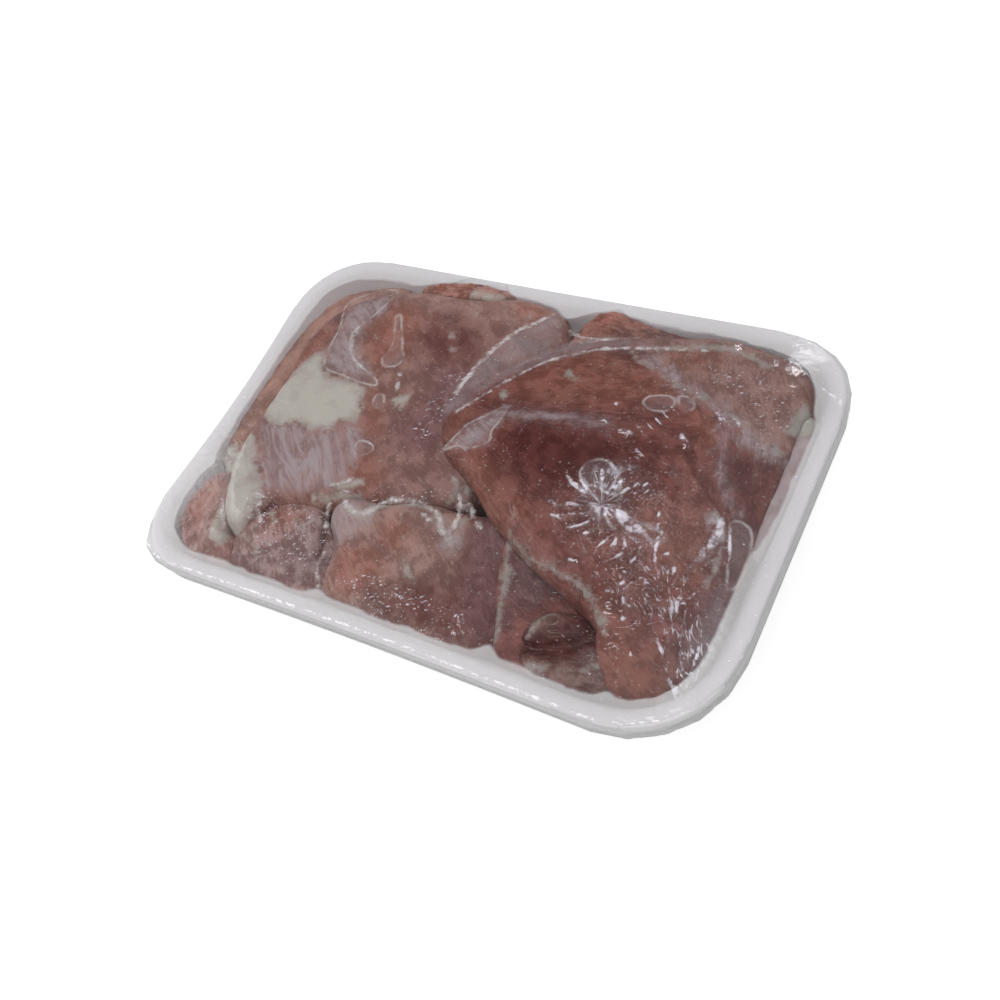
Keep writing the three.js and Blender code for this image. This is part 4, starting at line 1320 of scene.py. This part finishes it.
class PORK_OT_film(bpy.types.Operator):
    """Stretches the clear film over the dressed meat and the tray's rim"""

    bl_idname = "pork.film"
    bl_label = "Stretch Film"

    def execute(self, context):
        sizes = context.scene.pack_sizes
        cad_film = BVHTree.FromObject(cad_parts["film"], context.evaluated_depsgraph_get())
        meat = solid_tree([bpy.data.objects[node + "_meat"] for node in MEAT])
        tray = solid_tree([bpy.data.objects["foam_tray"]])
        low, high = (np.array(corner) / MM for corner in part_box("film"))
        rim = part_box("tray")[1].z / MM
        level = rim - EDGE_DROP
        y_edge, x_edge = film_outline(cad_film, level)
        xs = spread(FILM_ACROSS, low[0] + FILM_TURN, high[0] - FILM_TURN, DENSE_ACROSS)
        ys = spread(FILM_DEEP, low[1] + FILM_TURN, high[1] - FILM_TURN, DENSE_DEEP)
        front = np.array([y_edge(x, -1) for x in xs])
        back = np.array([y_edge(x, 1) for x in xs])
        left = np.array([x_edge(y, -1) for y in ys])
        right = np.array([x_edge(y, 1) for y in ys])
        u = ((xs - xs[0]) / (xs[-1] - xs[0]))[None, :]
        v = ((ys - ys[0]) / (ys[-1] - ys[0]))[:, None]
        grid_x = xs[None, :] + (1 - u) * (left - xs[0])[:, None] + u * (right - xs[-1])[:, None]
        grid_y = ys[:, None] + (1 - v) * (front - ys[0])[None, :] + v * (back - ys[-1])[None, :]
        flat = np.column_stack([grid_x.ravel(), grid_y.ravel()])
        meat_top = tops(meat, flat).reshape(grid_x.shape)
        floor = np.maximum(meat_top, tops(tray, flat).reshape(grid_x.shape)) + sizes.film_gap / MM
        floor[[0, -1], :] = level
        floor[:, [0, -1]] = level
        height = floor.copy()
        height[1:-1, 1:-1] = np.maximum(floor[1:-1, 1:-1], rim)
        for _ in range(SAG_ROUNDS):
            middle = height[1:-1, :-2] + height[1:-1, 2:] + height[:-2, 1:-1] + height[2:, 1:-1]
            height[1:-1, 1:-1] = np.maximum(floor[1:-1, 1:-1], middle / 4)
        fields = self.fields(flat)
        edge = np.minimum(
            np.minimum(grid_y - front[None, :], back[None, :] - grid_y),
            np.minimum(grid_x - left[:, None], right[:, None] - grid_x),
        )
        # How far the film stands above the meat near the walls: the finish paints a foam-white veil there,
        # partly haze and partly painted light over the crevice.
        solid = bridged(meat_top)
        beside = np.maximum(1 - smooth_step(edge, *WALL_REACH), solid < rim / 2)
        fields["gap"] = softened((height - solid) * beside).ravel()
        # Distance from the line along the front lip where the finish paints a highlight.
        fields["rim"] = np.abs((grid_y - front[None, :]).ravel() - RIM_LINE)
        # The crest share becomes painted highlights in the finish.
        rise, fields["crease"] = self.creases(flat)
        height = height.ravel() + rise * sizes.crease_scale
        piece = self.skin(cad_film, flat, height, fields)
        piece.visible_shadow = False
        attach(piece, "root")
        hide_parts("film")
        return {"FINISHED"}

    def fields(self, flat):
        """What the finish needs to know at each place of the film's top."""
        arm = np.hypot(flat[:, 0] - PUCKER[0], flat[:, 1] - PUCKER[1])
        spokes = smooth_step(arm, *PUCKER_START) * (1 - smooth_step(arm, *PUCKER_END))
        outlines = {"bubble": FILM_BUBBLES, "mist": FILM_MIST, "dew_glints": FILM_DEW_GLINTS, "glare": FILM_GLARE}
        fields = {
            name: mark_distance(flat, [{"area": outline} for outline in group.values()])
            for name, group in outlines.items()
        }
        fields["milk"] = mark_distance(flat, FILM_MILK)
        fields["pucker"] = spokes
        fields["folds"] = smooth_step(-area_distance(flat, FILM_FOLDED), -2, 3)
        fields["crinkle"] = 0.05 + 0.95 * smooth_step(-area_distance(flat, FILM_CRINKLED), -3, 6)
        return fields

    def creases(self, flat):
        """Height of all creases, ticks, outlines and beads at each place, and how near a crest it is."""
        rise = np.zeros(len(flat))
        crests = np.zeros(len(flat))
        waver = lumps(np.column_stack([flat, np.zeros(len(flat))]), WAVER_SIZE, octaves=2, seed=3.3)
        lines = list(FILM_CREASES)
        for tick in FILM_TICKS.values():
            for index in range(tick["count"]):
                start = np.array(tick["start"]) + index * np.array(tick["step"])
                lines.append(crease_mark(TICK_HEIGHT, TICK_HALF_WIDTH, start, start + np.array(tick["run"])))
        for crease in lines:
            line = curve(crease["line"])
            width = crease["half_width"]
            picked = near(flat, line, 5 * width)
            reach, along = distance_to_line(flat[picked], line)
            taper = np.sin(math.pi * np.clip(along, 0.02, 0.98)) ** 0.6
            crest = np.exp(-((reach / (width * (1 + 0.35 * waver[picked]))) ** 2))
            lift = crease["height"] * taper * crest * (1 + 0.5 * waver[picked])
            rise[picked] = np.maximum(rise[picked], lift)
            crests[picked] = np.maximum(crests[picked], taper * crest**0.6)
        for x, y, radius in FILM_BEADS:
            reach = np.hypot(flat[:, 0] - x, flat[:, 1] - y)
            rise += 0.5 * radius * np.exp(-((reach / radius) ** 2) * 1.6)
        for outline in FILM_BUBBLES.values():
            reach = area_distance(flat, outline)
            rise += BUBBLE_EDGE * np.exp(-((reach / 0.8) ** 2)) + BUBBLE_RISE * smooth_step(-reach, -0.5, 1.2)
        return rise, crests

    def skin(self, cad_film, flat, height, fields):
        """The film's closed skin: its top, its sides down the tray and its flat underside."""
        shape = bmesh.new()
        bmesh.ops.create_grid(shape, x_segments=FILM_ACROSS, y_segments=FILM_DEEP, size=1)
        column = FILM_ACROSS + 1
        for vertex in shape.verts:
            i = round((vertex.co.x + 1) / 2 * FILM_ACROSS)
            j = round((vertex.co.y + 1) / 2 * FILM_DEEP)
            k = j * column + i
            vertex.co = (flat[k][0] * MM, flat[k][1] * MM, height[k] * MM)
        edges = [edge for edge in shape.edges if edge.is_boundary]
        for level in SIDE_LEVELS:
            edges, ring = self.grow(shape, edges)
            for vertex in ring:
                vertex.co = self.side_place(cad_film, vertex.co, level)
        for share in UNDER_SHARES:
            edges, fresh = self.grow(shape, edges)
            for vertex in fresh:
                outer = self.side_place(cad_film, vertex.co, SIDE_LEVELS[-1])
                vertex.co = (outer.x * share, outer.y * share, UNDER_LEVEL * MM)
            ring = fresh
        bmesh.ops.pointmerge(shape, verts=ring, merge_co=(0, 0, UNDER_LEVEL * MM))
        bmesh.ops.recalc_face_normals(shape, faces=shape.faces)
        mesh = bpy.data.meshes.new("stretch_film")
        shape.to_mesh(mesh)
        shape.free()
        piece = new_object("stretch_film", mesh)
        places = read_places(mesh)
        pleats = self.pleats(places)
        pleats[: len(flat)] = 0
        places[:, :2] *= 1 + PLEAT_RELIEF * pleats[:, None]
        write_places(mesh, places)
        write_film_fields(mesh, fields)
        mesh.materials.append(film_finish())
        shade_smooth(mesh)
        return piece

    def pleats(self, places):
        """How near each place is to the crest of a pleat at the tray's corners."""
        x, y, z = places.T
        turn = np.arctan2(np.abs(y) - CORNER_MIDDLE[1], np.abs(x) - CORNER_MIDDLE[0])
        corner = CORNER_SHIFT[0] * np.sign(x) + CORNER_SHIFT[1] * np.sign(y)
        around = np.column_stack([turn * CORNER_RADIUS, corner, PLEAT_STRETCH * z])
        beside = smooth_step(np.abs(x), *CORNER_REACH["x"]) * smooth_step(np.abs(y), *CORNER_REACH["y"])
        beside *= smooth_step(z, *CORNER_REACH["z"])
        return np.exp(-((lumps(around, PLEAT_SIZE, octaves=2, seed=6.1) / PLEAT_WIDTH) ** 2)) * beside

    def grow(self, shape, edges):
        """Extrudes a loop of edges and returns the new edges and vertices."""
        made = bmesh.ops.extrude_edge_only(shape, edges=edges)["geom"]
        fresh = [item for item in made if isinstance(item, bmesh.types.BMVert)]
        members = set(fresh)
        loop = [
            item for item in made
            if isinstance(item, bmesh.types.BMEdge) and item.verts[0] in members and item.verts[1] in members
        ]
        return loop, fresh

    def side_place(self, cad_film, place, level):
        """Where the film lies at a level, straight outwards through a place."""
        direction = Vector((place.x, place.y, 0)).normalized()
        start = direction * RAY_START
        start.z = level * MM
        return cad_film.ray_cast(start, -direction)[0]


class PORK_OT_folded_ends(bpy.types.Operator):
    """Folds the film's ends flat under the tray"""

    bl_idname = "pork.folded_ends"
    bl_label = "Folded Film Ends"

    def execute(self, context):
        shape = bmesh.new()
        for flap in UNDER_FLAPS.values():
            self.flap(shape, flap)
        mesh = bpy.data.meshes.new("folded_film")
        shape.to_mesh(mesh)
        shape.free()
        piece = new_object("folded_film", mesh)
        places = read_places(mesh)
        # Painted highlights along the sheets' folded edges and wrinkles.
        crest = np.zeros(len(places))
        for flap in UNDER_FLAPS.values():
            edge = np.abs(area_distance(places[:, :2], flap["corners"]))
            crest = np.maximum(crest, FLAP_EDGE["share"] * np.exp(-((edge / FLAP_EDGE["width"]) ** 2)))
        crest = np.maximum(crest, FLAP_WRINKLE_SHARE * self.wrinkles(places, WRINKLE_RUN))
        write_film_fields(mesh, {"crease": crest, "crinkle": np.full(len(places), FLAP_CRINKLE)})
        mesh.materials.append(film_finish())
        shade_smooth(mesh)
        piece.visible_shadow = False
        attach(piece, "root")
        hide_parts("film")
        return {"FINISHED"}

    def flap(self, shape, flap):
        """Adds one thin wrinkled sheet between four corners, the last two at its free edge."""
        columns, rows = FLAP_CELLS
        made = bmesh.ops.create_grid(shape, x_segments=columns, y_segments=rows, size=1)["verts"]
        corners = np.array(flap["corners"], float)
        shares = np.array([(vertex.co.x + 1, vertex.co.y + 1) for vertex in made]) / 2
        u, v = shares.T[:, :, None]
        folded_edge = (1 - u) * corners[0] + u * corners[1]
        free_edge = (1 - u) * corners[3] + u * corners[2]
        flat = (1 - v) * folded_edge + v * free_edge
        level = np.full(len(flat), flap["level"])
        waver = lumps(np.column_stack([flat, level]), FLAP_WAVE_SIZE, octaves=2, seed=7.7)
        flat += FLAP_WAVE * waver[:, None] * v * np.sign(corners[3] - corners[0])
        level -= FLAP_RELIEF * self.wrinkles(np.column_stack([flat, level]), flap["run"])
        for vertex, (x, y), z in zip(made, flat, level):
            vertex.co = (x * MM, y * MM, z * MM)
        faces = list({face for vertex in made for face in vertex.link_faces})
        bmesh.ops.solidify(shape, geom=faces, thickness=FLAP_THICKNESS * MM)
        bmesh.ops.recalc_face_normals(shape, faces=shape.faces)

    def wrinkles(self, places, run):
        """How near each place is to the crest of a wrinkle."""
        crumple = lumps(places * (*run, 0), WRINKLE_SIZE, octaves=3, seed=2.9)
        return np.exp(-((crumple / WRINKLE_WIDTH) ** 2))


CAMERA_PLACE = (183.05, -151.73, 303.42)
CAMERA_RIGHT = (0.84973413, 0.44200228, -0.2873776)
CAMERA_UP = (-0.23863941, 0.80851487, 0.53791722)
SENSOR = 36.0
CLIP_RANGE = (0.01, 50)
FILL_SIZE = 420
FILL_COLOUR = (1.0, 0.985, 0.97)
KEY_COLOUR = (0.97, 0.96, 1.0)
LIGHT_AIM = Vector((0, 0, 0.02))
KEY_LIGHTS = {
    "lamp": {"place": (-26, 73, 497), "size": 120, "share": 1.0},
    "right": {"place": (182, 124, 475), "size": 80, "share": 0.22},
    "back": {"place": (65, 470, 158), "size": 90, "share": 1.0},
    "front left": {"place": (-196, -288, 358), "size": 70, "share": 0.4},
}
FILL_LIGHTS = {
    "left fill": {"place": (-580, -60, 200), "share": 1.8},
    "front fill": {"place": (60, -560, 260), "share": 0.8},
}
SHADE_CARD = (-0.5, 0.415, 0.76)
SHADE_CARD_SPAN = (0.62, 0.93)
SHADE_CARD_SHARE = 0.12
SKY_SPAN = (0.1, 0.95)
SKY_LEVELS = (0.45, 1.15)
FLOOR_SIZE = 4
FLOOR_GREYS = (0.38, 0.40)
FLOOR_GLOW = (0.26, 0.75)


class PORK_OT_stage(bpy.types.Operator):
    """Sets up the camera, the pale floor and the soft studio lights"""

    bl_idname = "pork.stage"
    bl_label = "Stage"

    def execute(self, context):
        scene = context.scene
        settings = scene.stage_settings
        self.camera(scene, settings)
        self.floor()
        for name, lamp in KEY_LIGHTS.items():
            self.light(name, lamp["place"], lamp["size"], settings.key * lamp["share"], KEY_COLOUR)
        for name, lamp in FILL_LIGHTS.items():
            self.light(name, lamp["place"], FILL_SIZE, settings.fill * lamp["share"], FILL_COLOUR)
        self.sky(scene, settings.sky)
        scene.view_settings.view_transform = "Standard"
        return {"FINISHED"}

    def camera(self, scene, settings):
        data = bpy.data.cameras.new("camera")
        data.lens = settings.lens
        data.sensor_width = SENSOR
        data.clip_start, data.clip_end = CLIP_RANGE
        camera = new_object("camera", data)
        right = Vector(CAMERA_RIGHT)
        up = Vector(CAMERA_UP)
        back = right.cross(up)
        turn = Matrix((right, up, back)).transposed().to_4x4()
        camera.matrix_world = Matrix.Translation(Vector(CAMERA_PLACE) * MM) @ turn
        scene.camera = camera

    def floor(self):
        shape = bmesh.new()
        bmesh.ops.create_grid(shape, x_segments=8, y_segments=8, size=FLOOR_SIZE)
        mesh = bpy.data.meshes.new("floor")
        shape.to_mesh(mesh)
        shape.free()
        floor = new_object("floor", mesh)
        finish = Finish("floor")
        grain = finish.noise(finish.place(), 0.02, 2, 0.5)
        darker, lighter = ((grey, grey, grey) for grey in FLOOR_GREYS)
        colour = finish.mix(finish.ramp(grain, 0.3, 0.7), darker, lighter)
        seen = finish.node("ShaderNodeLightPath", output="Is Camera Ray")
        sockets = {
            "Base Color": colour,
            "Roughness": 0.8,
            "Emission Color": (1, 1, 1, 1),
            "Emission Strength": finish.ramp(seen, 0, 1, *FLOOR_GLOW),
        }
        mesh.materials.append(finish.surface(finish.node("ShaderNodeBsdfPrincipled", None, sockets)))

    def light(self, name, place, size, radiance, colour):
        data = bpy.data.lights.new(name, "AREA")
        data.shape = "DISK"
        data.size = size * MM
        data.energy = radiance * (math.pi * data.size / 2) ** 2
        data.color = colour
        lamp = new_object(name, data)
        lamp.location = Vector(place) * MM
        lamp.rotation_euler = (LIGHT_AIM - lamp.location).to_track_quat("-Z", "Y").to_euler()

    def sky(self, scene, strength):
        world = bpy.data.worlds.new("studio")
        world.use_nodes = True
        tree = world.node_tree
        tree.nodes.clear()
        place = tree.nodes.new("ShaderNodeTexCoord")
        split = tree.nodes.new("ShaderNodeSeparateXYZ")
        tree.links.new(place.outputs["Generated"], split.inputs[0])
        rise = self.span(tree, split.outputs["Z"], SKY_SPAN, shaded(SKY_LEVELS, strength))
        towards = tree.nodes.new("ShaderNodeVectorMath")
        towards.operation = "DOT_PRODUCT"
        towards.inputs[1].default_value = SHADE_CARD
        tree.links.new(place.outputs["Generated"], towards.inputs[0])
        card = self.span(tree, towards.outputs["Value"], SHADE_CARD_SPAN, (1.0, SHADE_CARD_SHARE))
        light = tree.nodes.new("ShaderNodeMath")
        light.operation = "MULTIPLY"
        tree.links.new(rise, light.inputs[0])
        tree.links.new(card, light.inputs[1])
        path = tree.nodes.new("ShaderNodeLightPath")
        pick = tree.nodes.new("ShaderNodeMix")
        tree.links.new(path.outputs["Is Camera Ray"], pick.inputs[0])
        tree.links.new(light.outputs[0], pick.inputs[2])
        pick.inputs[3].default_value = 1.0
        background = tree.nodes.new("ShaderNodeBackground")
        tree.links.new(pick.outputs[0], background.inputs["Strength"])
        output = tree.nodes.new("ShaderNodeOutputWorld")
        tree.links.new(background.outputs[0], output.inputs["Surface"])
        background.inputs["Color"].default_value = (1, 1, 1, 1)
        scene.world = world

    def span(self, tree, value, source, target):
        """A smooth change between two values while another runs between two of its own."""
        change = tree.nodes.new("ShaderNodeMapRange")
        change.interpolation_type = "SMOOTHSTEP"
        for name, number in zip(("From Min", "From Max", "To Min", "To Max"), (*source, *target)):
            change.inputs[name].default_value = number
        tree.links.new(value, change.inputs["Value"])
        return change.outputs[0]


OPERATORS = (
    PORK_OT_stage, PORK_OT_tray, PORK_OT_large_steaks, PORK_OT_slices, PORK_OT_trimmings, PORK_OT_film,
    PORK_OT_folded_ends,
)


class PORK_PT_panel(bpy.types.Panel):
    """Lists the steps that dress the tray"""

    bl_idname = "PORK_PT_panel"
    bl_label = "Pork Tray"
    bl_space_type = "VIEW_3D"
    bl_region_type = "UI"
    bl_category = "Pork Tray"

    def draw(self, context):
        for step in OPERATORS:
            self.layout.operator(step.bl_idname)
        for group in (context.scene.pork_colours, context.scene.pack_sizes, context.scene.stage_settings):
            for name in group.__annotations__:
                self.layout.prop(group, name)


GROUPS = {"pork_colours": PorkColours, "pack_sizes": PackSizes, "stage_settings": StageSettings}


def register():
    for group in (*GROUPS.values(), *OPERATORS, PORK_PT_panel):
        bpy.utils.register_class(group)
    for name, group in GROUPS.items():
        setattr(bpy.types.Scene, name, bpy.props.PointerProperty(type=group))


def unregister():
    for name in GROUPS:
        delattr(bpy.types.Scene, name)
    for group in reversed((*GROUPS.values(), *OPERATORS, PORK_PT_panel)):
        bpy.utils.unregister_class(group)


def main():
    register()
    bpy.ops.pork.stage()
    bpy.ops.pork.tray()
    bpy.ops.pork.large_steaks()
    bpy.ops.pork.slices()
    bpy.ops.pork.trimmings()
    bpy.ops.pork.film()
    bpy.ops.pork.folded_ends()


if __name__ == "__main__":
    main()
